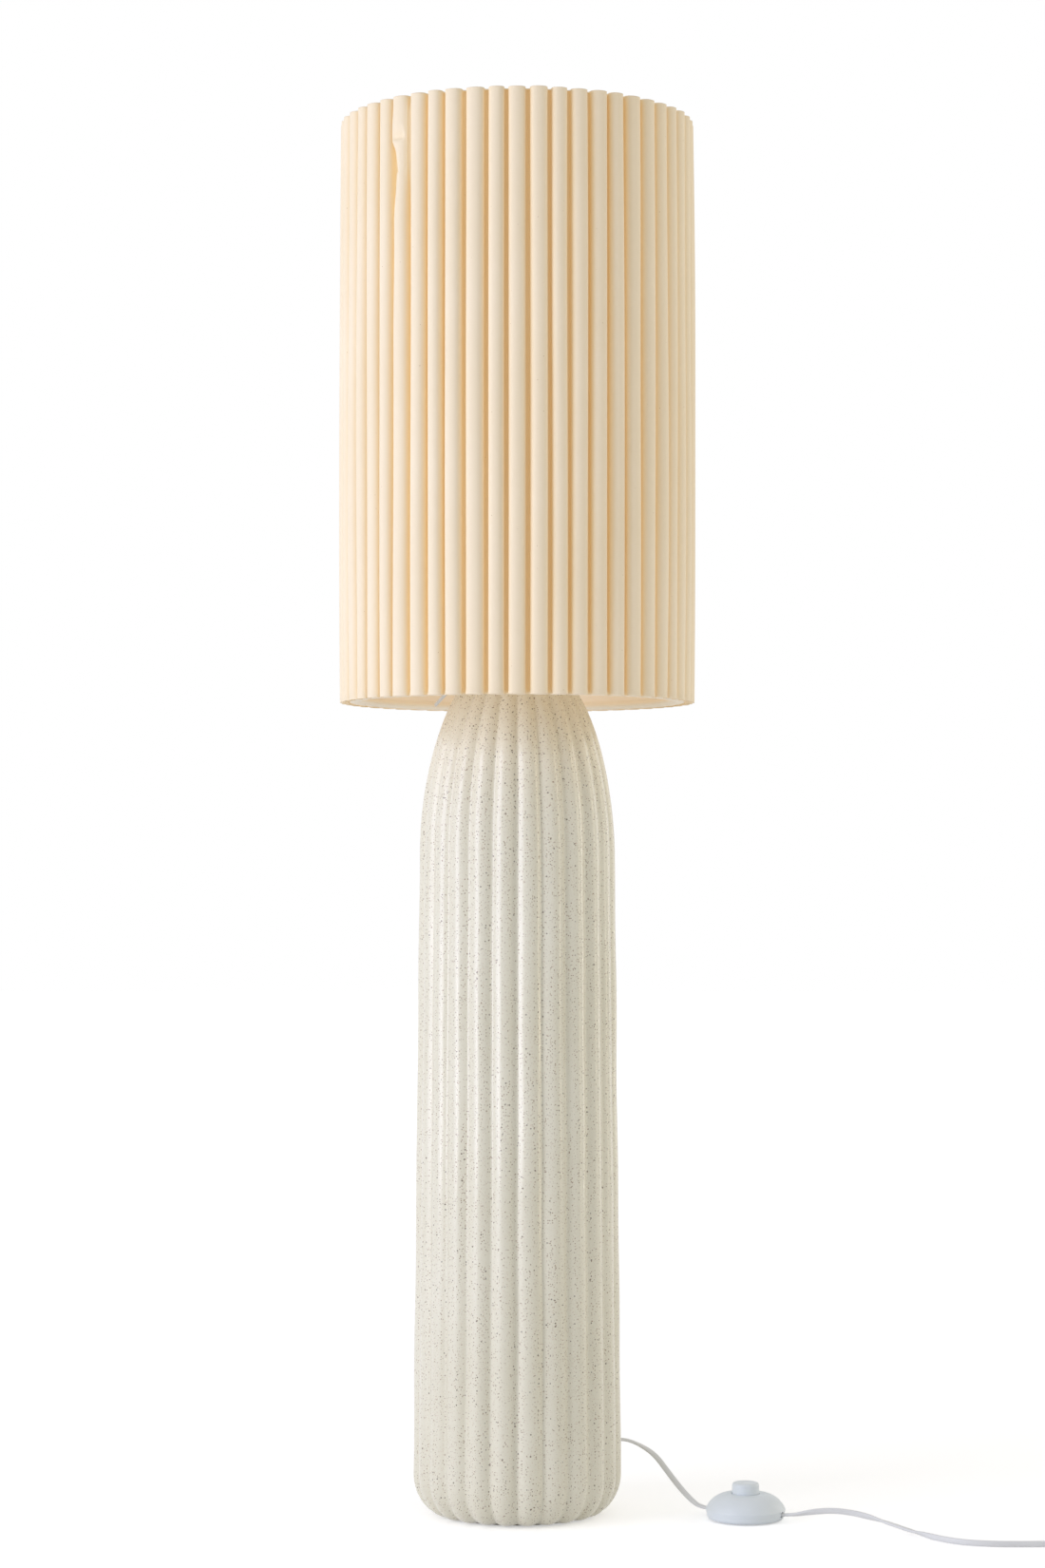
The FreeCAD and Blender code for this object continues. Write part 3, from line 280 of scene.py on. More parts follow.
def coil_strap():
    """The flat strap that holds the coil together: a rounded loop with a lapped end."""
    inner = COIL_INNER_RADIUS - FLEX_HALF_THICK - STRAP_CLEARANCE
    outer = COIL_INNER_RADIUS + COIL_PITCH * max(COIL_QUARTERS) / 4 + FLEX_HALF_THICK + STRAP_CLEARANCE
    top = COIL_FLOOR + COIL_LAYER_STEP + FLEX_HALF_WIDTH + STRAP_CLEARANCE
    middle, half_span = (inner + outer) / 2, (outer - inner) / 2
    centre, half_rise = top / 2 + STRAP_LOWEST, top / 2 - STRAP_LOWEST
    flat_half = STRAP_HALF_WIDTH - STRAP_HEM
    widths = (-STRAP_HALF_WIDTH, -flat_half, flat_half, STRAP_HALF_WIDTH)
    rows = STRAP_STEPS + STRAP_OVERLAP_STEPS
    points = []
    for number in range(rows):
        across, up = squarish(math.pi / 2 + math.tau * number / STRAP_STEPS, STRAP_POWER)
        lap = STRAP_LAP * ease(number, STRAP_STEPS - STRAP_RISE_STEPS, STRAP_STEPS)
        along = COIL_MIDDLE[1] + middle + (half_span + lap) * across
        height = max(centre + (half_rise + lap) * up, STRAP_LOWEST)
        points += [(COIL_MIDDLE[0] + width, along, height) for width in widths]
    faces = net_faces(rows, len(widths), wrap_columns=False)
    piece = make_piece("coil_strap", points, faces, "lamp", "tie_strap")
    thicken(piece, STRAP_THICK, 1)
    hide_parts("cord_tie")
    return piece


# Foot switch's spring

SPRING_RADIUS, SPRING_WIRE, SPRING_TURNS = 6.2, 0.45, 6
SPRING_STEPS_PER_TURN, SPRING_WIRE_SIDES = 28, 10


def return_spring():
    """The coiled spring under the button, built at rest; the real spring shortens by the button's travel.
    """
    lowest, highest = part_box("switch_spring")
    middle = [(low + high) / 2 / MM for low, high in zip(lowest, highest)]
    bottom, top = lowest[2] / MM + SPRING_WIRE, highest[2] / MM - SPRING_WIRE
    steps = SPRING_TURNS * SPRING_STEPS_PER_TURN
    points = []
    for step in range(steps + 1):
        angle = math.tau * step / SPRING_STEPS_PER_TURN
        height = bottom + (top - bottom) * step / steps
        for side in range(SPRING_WIRE_SIDES):
            around = math.tau * side / SPRING_WIRE_SIDES
            radius = SPRING_RADIUS + SPRING_WIRE * math.cos(around)
            points.append((middle[0] + radius * math.cos(angle), middle[1] + radius * math.sin(angle),
                           height + SPRING_WIRE * math.sin(around)))
    faces = tube_faces(steps + 1, SPRING_WIRE_SIDES)
    piece = make_piece("return_spring", points, faces, "lamp", "spring_steel")
    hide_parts("switch_spring")
    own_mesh(piece)
    return piece


# Uneven handwork

WAVES, WAVE_GAIN = 5, 1.6
WAVE_RATES, WAVE_WEIGHTS = (0.006, 0.05), (0.3, 1)
GROOVE_SEED, RIB_SEED, CREST_SEED, LEAN_SEED = 300, 400, 500, 600


def hand_made(seed):
    """A slow wave along the height with a random course, about -1 to 1."""
    source = random.Random(seed)
    waves = []
    for _ in range(WAVES):
        rate, phase = source.uniform(*WAVE_RATES), source.uniform(0, math.tau)
        waves.append((rate, phase, source.uniform(*WAVE_WEIGHTS)))
    total = sum(weight for _, _, weight in waves)

    def wave(z):
        return sum(weight * math.sin(rate * z + phase) for rate, phase, weight in waves) / total * WAVE_GAIN

    return wave


# Ceramic base

RIBS, RIB_STEPS = 24, 14
FOOT_Z, FOOT_RADIUS, FOOT_OUT, FOOT_UP = 2.0, 69.5, 28.0, 36.0
SHOULDER_RADIUS, SHOULDER_Z, DOME_RISE = 92.0, 610.0, 198.0
NECK_RADIUS, NECK_Z, NECK_HOLE = 28.9, 797.98, 5.3
FOOT_STEPS, COLUMN_STEPS, DOME_STEPS = 14, 72, 40
GROOVE_SHARE, GROOVE_SOFTNESS, GROOVE_FILL = 0.0533, 0.06, 0.35
GROOVE_DRIFT = math.radians(0.22)
RIB_SWELL, RIB_SWELL_FULL_RADIUS = 0.35, 60
FOOT_DROP, FOOT_DROP_TOP, FOOT_DROP_IN_GROOVE = 1.5, 18, 0.1
SEAT_RADIUS, SEAT_UNDER_Z = 24.0, 788.98
BOSS_RADIUS, BOSS_Z = 17.0, 774.0
HOLLOW_RADIUS, HOLLOW_RISE, HOLLOW_STEPS = 81.0, 178.98, 8
HOLLOW_TOP_RADIUS, HOLLOW_TOP_Z = 22.0, 770.0
HOLLOW_LOW_RADIUS, HOLLOW_LOW_Z = 86.5, 45.0
FOOT_RIM_RADIUS, FOOT_RIM_Z, FOOT_OPENING = 62.5, 12.0, 56.0


def base_outline():
    """Crest radius and height up the outside of the base, from the foot to the neck."""
    outline = []
    for step in range(FOOT_STEPS + 1):
        angle = math.pi / 2 * step / FOOT_STEPS
        outline.append((FOOT_RADIUS + FOOT_OUT * math.sin(angle), FOOT_Z + FOOT_UP * (1 - math.cos(angle))))
    belly, belly_z = outline[-1]
    for step in range(1, COLUMN_STEPS):
        share = step / COLUMN_STEPS
        outline.append((belly + (SHOULDER_RADIUS - belly) * share,
                        belly_z + (SHOULDER_Z - belly_z) * share))
    last = math.acos(NECK_RADIUS / SHOULDER_RADIUS)
    for step in range(DOME_STEPS + 1):
        angle = last * step / DOME_STEPS
        outline.append((SHOULDER_RADIUS * math.cos(angle), SHOULDER_Z + DOME_RISE * math.sin(angle)))
    return outline


def hollow_outline():
    """Radius and height from the neck's flat top down the inside of the base to its opening."""
    outline = [
        (SEAT_RADIUS, NECK_Z), (NECK_HOLE, NECK_Z), (NECK_HOLE, SEAT_UNDER_Z), (BOSS_RADIUS, SEAT_UNDER_Z),
        (BOSS_RADIUS, BOSS_Z), (HOLLOW_TOP_RADIUS, HOLLOW_TOP_Z),
    ]
    last = math.acos(HOLLOW_TOP_RADIUS / HOLLOW_RADIUS)
    for step in range(1, HOLLOW_STEPS + 1):
        angle = last * (1 - step / HOLLOW_STEPS)
        outline.append((HOLLOW_RADIUS * math.cos(angle), SHOULDER_Z + HOLLOW_RISE * math.sin(angle)))
    outline += [
        (HOLLOW_LOW_RADIUS, HOLLOW_LOW_Z), (FOOT_RIM_RADIUS, FOOT_RIM_Z),
        (FOOT_OPENING, FOOT_RIM_Z), (FOOT_OPENING, FOOT_Z),
    ]
    return outline


def rib_height(share):
    """Height of a rib from its slightly filled groove, 0 to 1, at a share of the way across it."""
    from_groove = 1 - abs(2 * share - 1)
    filled = math.hypot(from_groove, GROOVE_SOFTNESS) - GROOVE_SOFTNESS * (1 - from_groove) * GROOVE_FILL
    filled = min(filled / math.hypot(1, GROOVE_SOFTNESS), 1.0)
    return filled * (2 - filled)


def ceramic_base():
    """The ribbed outside with wandering grooves, and the plain hollow inside."""
    outline, hollow = base_outline(), hollow_outline()
    groove_drift = [hand_made(GROOVE_SEED + rib) for rib in range(RIBS)]
    rib_swell = [hand_made(RIB_SEED + rib) for rib in range(RIBS)]
    columns = RIBS * RIB_STEPS
    points = []
    for crest, z in outline:
        swell_share = min(1.0, crest / RIB_SWELL_FULL_RADIUS)
        drop_share = 1 - ease(z, FOOT_Z, FOOT_DROP_TOP)
        for column in range(columns):
            rib, share = column // RIB_STEPS, (column % RIB_STEPS) / RIB_STEPS
            drift = (1 - share) * groove_drift[rib](z) + share * groove_drift[(rib + 1) % RIBS](z)
            angle = math.tau * (rib + share) / RIBS + GROOVE_DRIFT * drift
            rise = rib_height(share)
            swell = RIB_SWELL * rib_swell[rib](z) * math.sin(math.pi * share) * swell_share
            radius = crest * (1 - GROOVE_SHARE * (1 - rise)) + swell
            drop = FOOT_DROP * drop_share * (FOOT_DROP_IN_GROOVE + (1 - FOOT_DROP_IN_GROOVE) * rise)
            points.append((radius * math.cos(angle), radius * math.sin(angle), z - drop))
    for radius, z in hollow:
        for column in range(columns):
            angle = math.tau * column / columns
            points.append((radius * math.cos(angle), radius * math.sin(angle), z))
    faces = net_faces(len(outline) + len(hollow), columns, wrap_rows=True)
    piece = make_piece("ceramic_body", points, faces, "lamp", "speckled_glaze")
    for polygon in piece.data.polygons:
        polygon.use_smooth = polygon.index < (len(outline) - 1) * columns
    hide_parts("ceramic_base")


# Shade's cloth

PLEATS = 53
SHADE_RADIUS, VALLEY_RADIUS = 167.0, 155.0
SHADE_BOTTOM, SHADE_TOP = 755.58, 1300.08
CREST_HALF, CREST_ROUND, CREST_POWER = 7.6, 7.0, 0.9
NECK_HALF = 7.2
CREST_STEPS, NECK_STEPS, VALLEY_STEPS = 10, 3, 3
CLOTH_THICK = 0.8
VALLEY_DRIFT = math.radians(0.42)
CREST_SWELL, CREST_SWELL_PACE = 0.5, 0.35
CREST_LEAN, CREST_LEAN_PACE = 0.55, 0.3
END_LEAN, END_LIFT, END_REACH = 0.3, 0.6, 40
LEAST_FULL, MIDDLE_FULLER = 0.94, 0.12
HEM_OUT, HEM_OUT_DEPTH, HEM_FROM, HEM_TO = 3.5, 10, 1.0, 6.0
VALLEY_STITCH = 0.6
# Rows of the cloth: rises from the bottom, a count of plain ones, bands below the top, falls from the top
BOTTOM_ROWS = (0, 0.8, 1.8, 2.8, 3.8, 5, 6.5, 9)
PLAIN_ROWS = 26
CREASE_BANDS = ((126, 78, 14), (78, 62, 10), (62, 46, 7), (46, 32, 10), (32, 6, 9))
TOP_ROWS = (4, 2.8, 1.8, 0.8, 0)


def pleat_section():
    """One pleat cut across, valley to valley: a full, slightly flattened crest on a narrower neck."""
    depth = SHADE_RADIUS - VALLEY_RADIUS
    valley_half = VALLEY_RADIUS * math.tan(math.pi / PLEATS) - NECK_HALF
    shoulder = depth - CREST_ROUND
    half = []
    for step in range(CREST_STEPS + 1):
        angle = math.pi / 2 * step / CREST_STEPS
        half.append((CREST_HALF * math.sin(angle) ** CREST_POWER,
                     depth - CREST_ROUND * (1 - max(math.cos(angle), 0) ** CREST_POWER)))
    for step in range(1, NECK_STEPS + 1):
        share = step / NECK_STEPS
        half.append((CREST_HALF + (NECK_HALF - CREST_HALF) * share,
                     shoulder - (shoulder - valley_half) * share))
    for step in range(1, VALLEY_STEPS + 1):
        angle = math.pi / 2 * step / VALLEY_STEPS
        half.append((NECK_HALF + valley_half * (1 - math.cos(angle)), valley_half * (1 - math.sin(angle))))
    left = [(-across, out) for across, out in reversed(half[1:])]
    return left + half[:-1]


def cloth_levels():
    """Heights of the cloth's rows, close together at the hems and along the pinched stretch."""
    levels = [SHADE_BOTTOM + rise for rise in BOTTOM_ROWS]
    low, high = levels[-1], SHADE_TOP - CREASE_BANDS[0][0]
    levels += [low + (high - low) * step / PLAIN_ROWS for step in range(1, PLAIN_ROWS + 1)]
    for first, last, steps in CREASE_BANDS:
        levels += [SHADE_TOP - first + (first - last) * step / steps for step in range(1, steps + 1)]
    return levels + [SHADE_TOP - fall for fall in TOP_ROWS]


# Pinched pleat

CREASED_PLEAT = PLEATS - 6
# Amounts, and the distances below the shade's top over which they come and go
FOLD_FROM, FOLD_AT, FOLD_TO = 26, 38, 41
PINCH_AT, PINCH_TO = 69, 112
PINCH_ABOVE, PINCH_BELOW, PINCH_BELOW_POWER = 5.4, 4.4, 1.6
PINCH_SOFT_SHARE, PINCH_SOFT_TO = 0.3, 52
SLACK, SLACK_RANGES = 1.3, ((66, 90), (130, 230))
BULGE, BULGE_RANGES = 1.3, ((6, 34), (38, 50))
SPREAD, SPREAD_RANGES = 1.0, ((-4, 16), (58, 104))
# Distances across the pleat and out from its valley, and how far its crest is pressed in or let out
LEFT_SIDE, RIGHT_SIDE, FOLD_SIDES = (5.0, -6.0), (0.5, 6.5), ((-8.5, -4.0), (3, 7))
PULL_RANGE, CREST_RANGE = (1, 7), (5, 13)
FOLD_DEPTH, PINCH_DEPTH_SHARE = 3.8, 0.3
SPREAD_OUT_TO, SPREAD_OUT_SHARE = 8.5, 0.75


def crease(across, out, below_top):
    """The pinched pleat: a fold across its crest, its left side drawn in below, its right side spread."""
    if below_top < PINCH_AT:
        soft = PINCH_SOFT_SHARE * ease(below_top, FOLD_AT, PINCH_SOFT_TO)
        drawn = PINCH_ABOVE * (soft + (1 - PINCH_SOFT_SHARE) * ramp(below_top, FOLD_AT, PINCH_AT))
    else:
        drawn = PINCH_BELOW * ramp(below_top, PINCH_TO, PINCH_AT) ** PINCH_BELOW_POWER
    drawn += SLACK * hump(below_top, *SLACK_RANGES)
    bulge = BULGE * hump(below_top, *BULGE_RANGES)
    left = ease(across, *LEFT_SIDE)
    folded = min(ramp(below_top, FOLD_FROM, FOLD_AT), ramp(below_top, FOLD_TO, FOLD_AT))
    folded *= hump(across, *FOLD_SIDES)
    spread = hump(below_top, *SPREAD_RANGES) * ease(across, *RIGHT_SIDE)
    crest = ease(out, *CREST_RANGE)
    across += (drawn - bulge) * left * ease(out, *PULL_RANGE) + SPREAD * spread
    out -= crest * (FOLD_DEPTH * folded + PINCH_DEPTH_SHARE * drawn * left)
    out += spread * max(0.0, SPREAD_OUT_TO - out) * SPREAD_OUT_SHARE
    return across, out


def cloth_flat_map(faces, flat, columns):
    """The flat place of each face's corners, carried on past the last column where the net closes."""
    seam = max(u for u, _ in flat) + VALLEY_STITCH * MM

    def place(corner, first):
        u, v = flat[corner]
        closes = first % columns == columns - 1 and corner % columns == 0
        return (u + seam, v) if closes else (u, v)

    return [[place(corner, face[0]) for corner in face] for face in faces]


def pleated_cloth():
    """The pleats, no two quite alike, row by row from the bottom hem."""
    section, levels = pleat_section(), cloth_levels()
    depth = SHADE_RADIUS - VALLEY_RADIUS
    valley_shift = [chance.uniform(-1, 1) for _ in range(PLEATS)]
    crest_swell = [hand_made(CREST_SEED + pleat) for pleat in range(PLEATS)]
    crest_lean = [hand_made(LEAN_SEED + pleat) for pleat in range(PLEATS)]
    end_tilt = [chance.uniform(-0.5, 0.5) for _ in range(PLEATS)]
    pitch = math.tau / PLEATS
    valleys = [-math.pi / 2 + pitch * (number - 0.5) + VALLEY_DRIFT * valley_shift[number % PLEATS]
               for number in range(PLEATS + 1)]
    points, flat = [], []
    for z in levels:
        over, under = z - SHADE_BOTTOM, SHADE_TOP - z
        fuller = LEAST_FULL + MIDDLE_FULLER * math.sin(math.pi * over / (over + under)) - 1
        edge = 1 - ease(min(over, under), 0, END_REACH)
        hem = 1 - ease(over, HEM_FROM, HEM_TO)
        walked = 0.0
        for pleat in range(PLEATS):
            start, end = valleys[pleat], valleys[pleat + 1]
            along, side = math.cos((start + end) / 2), math.sin((start + end) / 2)
            stretch = (end - start) / pitch
            swell = CREST_SWELL * crest_swell[pleat](z * CREST_SWELL_PACE)
            lean = CREST_LEAN * crest_lean[pleat](z * CREST_LEAN_PACE) + END_LEAN * edge * end_tilt[pleat]
            lift = END_LIFT * edge * end_tilt[pleat] if under < END_REACH else 0.0
            before = None
            for across, out in section:
                height = ease(out, 0, depth)
                out = out * (1 + height * fuller) + height * swell
                across = across * stretch + height * lean
                if pleat == CREASED_PLEAT:
                    across, out = crease(across, out, under)
                out += HEM_OUT * hem * (1 - ease(out, 0, HEM_OUT_DEPTH))
                radius = VALLEY_RADIUS + out
                x, y = radius * along - across * side, radius * side + across * along
                points.append((x, y, z + height * lift))
                walked += math.hypot(across - before[0], out - before[1]) if before else VALLEY_STITCH
                before = (across, out)
                flat.append((walked * MM, z * MM))
    columns = PLEATS * len(section)
    faces = net_faces(len(levels), columns)
    flat_map = cloth_flat_map(faces, flat, columns)
    piece = make_piece("pleated_cloth", points, faces, "shade", "pleated_cloth", flat_map)
    thicken(piece, CLOTH_THICK, -1)
    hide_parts("shade_pleats")


# Shade's edge tapes

WIRE_RING_RADIUS, WIRE_RING_RISE = 147.4, 3.9
TAPE_ROLL, TAPE_THICK = 2.05, 0.35
TAPE_ROLL_FROM, TAPE_ROLL_STEP, TAPE_ROLL_STEPS = 72, 27, 8
# Radius and rise from the shade's edge, inside the roll and from the roll out under the pleats
TAPE_INSIDE = [(148.95, 8.0), (148.5, 6.9)]
TAPE_UNDER = [(148.6, 1.0), (150.0, 0.5), (152.5, 0.45), (155.5, 0.6), (157.0, 0.8), (157.4, 1.2)]
TAPE_COLUMNS, TAPE_MAP_RADIUS = 424, 148.5
TAPE_PUCKER, TAPE_PUCKERS, TAPE_PUCKERED_ROWS = 0.08, 31, 9
TAPE_PLEAT_WAVE, TAPE_SLOW_WAVE, TAPE_SLOW_WAVES, TAPE_SLOW_PHASE = 0.12, 0.08, 7, 1.3
TAPE_WAVY_BELOW = 2


def edge_tape(name, node, edge_z, inward):
    """Tape rolled over a wire ring and out under the pleats; inward is 1 at the bottom, -1 at the top."""
    roll = []
    for step in range(TAPE_ROLL_STEPS):
        angle = math.radians(TAPE_ROLL_FROM + TAPE_ROLL_STEP * step)
        roll.append((WIRE_RING_RADIUS + TAPE_ROLL * math.cos(angle),
                     WIRE_RING_RISE + TAPE_ROLL * math.sin(angle)))
    profile = TAPE_INSIDE + roll + TAPE_UNDER
    points, flat = [], []
    for row, (radius, rise) in enumerate(profile):
        for column in range(TAPE_COLUMNS):
            angle = math.tau * column / TAPE_COLUMNS
            reach, height = radius, rise
            if row < TAPE_PUCKERED_ROWS:
                reach += TAPE_PUCKER * math.sin(TAPE_PUCKERS * angle)
            if rise < TAPE_WAVY_BELOW:
                height += TAPE_PLEAT_WAVE * math.sin(PLEATS * angle)
                height += TAPE_SLOW_WAVE * math.sin(TAPE_SLOW_WAVES * angle + TAPE_SLOW_PHASE)
            points.append((reach * math.cos(angle), reach * math.sin(angle), edge_z + inward * height))
            flat.append((TAPE_MAP_RADIUS * angle * MM, rise * MM))
    faces = net_faces(len(profile), TAPE_COLUMNS)
    flat_map = [[flat[corner] for corner in face] for face in faces]
    piece = make_piece(name, points, faces, "shade", "binding_tape", flat_map)
    thicken(piece, TAPE_THICK, 0)
    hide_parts(node)


# Shader nodes

def add(tree, kind, inputs=None, **settings):
    """One shader node with its settings, and values or links for its inputs."""
    made = tree.nodes.new(kind)
    for name, value in settings.items():
        setattr(made, name, value)
    for name, value in (inputs or {}).items():
        socket = made.inputs[name]
        if isinstance(value, bpy.types.NodeSocket):
            tree.links.new(value, socket)
        else:
            socket.default_value = value
    return made


def maths(tree, operation, first, second=0.0, third=None):
    values = {0: first, 1: second}
    if third is not None:
        values[2] = third
    return add(tree, "ShaderNodeMath", values, operation=operation).outputs[0]


def rescale(tree, value, low, high, new_low=0.0, new_high=1.0):
    """A value from the range low to high on the range new_low to new_high, and level beyond."""
    values = {"Value": value, "From Min": low, "From Max": high, "To Min": new_low, "To Max": new_high}
    return add(tree, "ShaderNodeMapRange", values).outputs[0]


def blend_colour(tree, share, first, second):
    return add(tree, "ShaderNodeMix", {0: share, 6: first, 7: second}, data_type="RGBA").outputs[2]


def object_place(tree):
    """The shaded point in the object's own metres."""
    return add(tree, "ShaderNodeTexCoord").outputs["Object"]


def split(tree, vector):
    return add(tree, "ShaderNodeSeparateXYZ", {0: vector}).outputs


def noise(tree, vector, scale, detail):
    return add(tree, "ShaderNodeTexNoise", {"Vector": vector, "Scale": scale, "Detail": detail}).outputs[0]


# Shader groups

CLOUD_DETAIL, CLOUD_RANGE = 4.0, (0.32, 0.68)
GRAIN_DETAIL, BROAD_SCALE, BROAD_DETAIL, BROAD_SHARE, GLOSS_RANGE = 3.0, 34.0, 2.0, 0.6, (0.3, 0.7)
SMALLEST_FLECK, FLECK_SOLID = 0.25, 0.55
SLUB_STRETCHES, SLUB_DETAIL = ((900.0, 40.0, 1.0), (30.0, 1100.0, 1.0)), 2.0


def start_group(name, inputs, outputs):
    """An empty shader group with its sockets, and its input and output nodes."""
    tree = bpy.data.node_groups.new(name, "ShaderNodeTree")
    for label, kind, value in inputs:
        socket = tree.interface.new_socket(name=label, in_out="INPUT", socket_type="NodeSocket" + kind)
        socket.default_value = value
    for label, kind in outputs:
        tree.interface.new_socket(name=label, in_out="OUTPUT", socket_type="NodeSocket" + kind)
    return tree, tree.nodes.new("NodeGroupInput").outputs, tree.nodes.new("NodeGroupOutput").inputs


def make_tone_group():
    """Two close shades of one colour in soft clouds."""
    tree, given, result = start_group(
        "cloudy tone",
        [("Light", "Color", (0.8, 0.8, 0.8, 1)), ("Dark", "Color", (0.7, 0.7, 0.7, 1)),
         ("Scale", "Float", 20.0)],
        [("Color", "Color")])
    share = rescale(tree, noise(tree, object_place(tree), given["Scale"], CLOUD_DETAIL), *CLOUD_RANGE)
    tree.links.new(blend_colour(tree, share, given["Dark"], given["Light"]), result["Color"])
    return tree


def make_grain_group():
    """Fine surface grain: a height, and a roughness that follows it."""
    tree, given, result = start_group(
        "fine grain",
        [("Scale", "Float", 900.0), ("Smooth", "Float", 0.35), ("Rough", "Float", 0.5)],
        [("Height", "Float"), ("Roughness", "Float")])
    place = object_place(tree)
    grain = noise(tree, place, given["Scale"], GRAIN_DETAIL)
    broad = noise(tree, place, BROAD_SCALE, BROAD_DETAIL)
    fine = maths(tree, "MULTIPLY", grain, 1 - BROAD_SHARE)
    both = maths(tree, "MULTIPLY_ADD", broad, BROAD_SHARE, fine)
    gloss = rescale(tree, both, *GLOSS_RANGE, given["Smooth"], given["Rough"])
    tree.links.new(grain, result["Height"])
    tree.links.new(gloss, result["Roughness"])
    return tree


def make_fleck_group():
    """Scattered round flecks of mixed sizes, as a mask."""
    tree, given, result = start_group(
        "scattered flecks",
        [("Scale", "Float", 200.0), ("Size", "Float", 0.2), ("Share", "Float", 0.5),
         ("Shift", "Float", 0.0)],
        [("Mask", "Float")])
    shift = add(tree, "ShaderNodeCombineXYZ", {0: given["Shift"], 1: given["Shift"], 2: given["Shift"]})
    moved = add(tree, "ShaderNodeVectorMath", {0: object_place(tree), 1: shift.outputs[0]}, operation="ADD")
    cells = add(tree, "ShaderNodeTexVoronoi", {"Vector": moved.outputs[0], "Scale": given["Scale"]})
    lots = add(tree, "ShaderNodeSeparateColor", {0: cells.outputs["Color"]}).outputs
    present = maths(tree, "LESS_THAN", lots[0], given["Share"])
    size = maths(tree, "MULTIPLY_ADD", lots[1], 1 - SMALLEST_FLECK, SMALLEST_FLECK)
    radius = maths(tree, "MULTIPLY", given["Size"], size)
    near = maths(tree, "DIVIDE", cells.outputs["Distance"], radius)
    dot = rescale(tree, near, 1.0, FLECK_SOLID)
    tree.links.new(maths(tree, "MULTIPLY", dot, present), result["Mask"])
    return tree


def make_weave_group():
    """Plain weave with uneven yarns, laid out on the cloth's flat map."""
    tree, given, result = start_group(
        "plain weave", [("Threads", "Float", 1300.0), ("Slub", "Float", 0.5)],
        [("Height", "Float"), ("Yarn", "Float")])
    flat = add(tree, "ShaderNodeTexCoord").outputs["UV"]
    spot = split(tree, flat)
    turns = maths(tree, "MULTIPLY", given["Threads"], math.tau / 2)
    warp = maths(tree, "SINE", maths(tree, "MULTIPLY", spot[0], turns))
    weft = maths(tree, "SINE", maths(tree, "MULTIPLY", spot[1], turns))
    crossing = maths(tree, "MULTIPLY_ADD", maths(tree, "MULTIPLY", warp, weft), 0.5, 0.5)
    slubs = []
    for stretch in SLUB_STRETCHES:
        drawn = add(tree, "ShaderNodeVectorMath", {0: flat, 1: stretch}, operation="MULTIPLY")
        slubs.append(noise(tree, drawn.outputs[0], 1.0, SLUB_DETAIL))
    yarn = maths(tree, "MULTIPLY", maths(tree, "ADD", *slubs), 0.5)
    height = maths(tree, "MULTIPLY_ADD", yarn, given["Slub"], maths(tree, "MULTIPLY", crossing, 0.5))
    tree.links.new(height, result["Height"])
    tree.links.new(yarn, result["Yarn"])
    return tree


# Materials

def start_material(name):
    material = bpy.data.materials.new(name)
    material.use_nodes = True
    tree = material.node_tree
    return material, tree, tree.nodes["Principled BSDF"]


def place_group(tree, group, **values):
    """A shader group with values or links for its inputs."""
    return add(tree, "ShaderNodeGroup", values, node_tree=groups[group]).outputs


def set_constants(shader, constants):
    for socket, value in constants.items():
        shader.inputs[socket].default_value = value


def raise_surface(tree, shader, height, depth_mm, strength=1.0):
    """Bump from a height, in millimetres from lowest to highest."""
    bump = add(tree, "ShaderNodeBump", {"Height": height, "Distance": depth_mm * MM, "Strength": strength})
    tree.links.new(bump.outputs[0], shader.inputs["Normal"])


GRAIN_SCALE, GRAIN_MM, TONE_SCALE = 900.0, 0.02, 24.0
WHITE = ((0.80, 0.80, 0.785), (0.755, 0.755, 0.735))
METAL = {"Metallic": 1.0}
LINER_GLOW = {"Emission Color": (1.0, 0.80, 0.56, 1), "Emission Strength": 0.17}
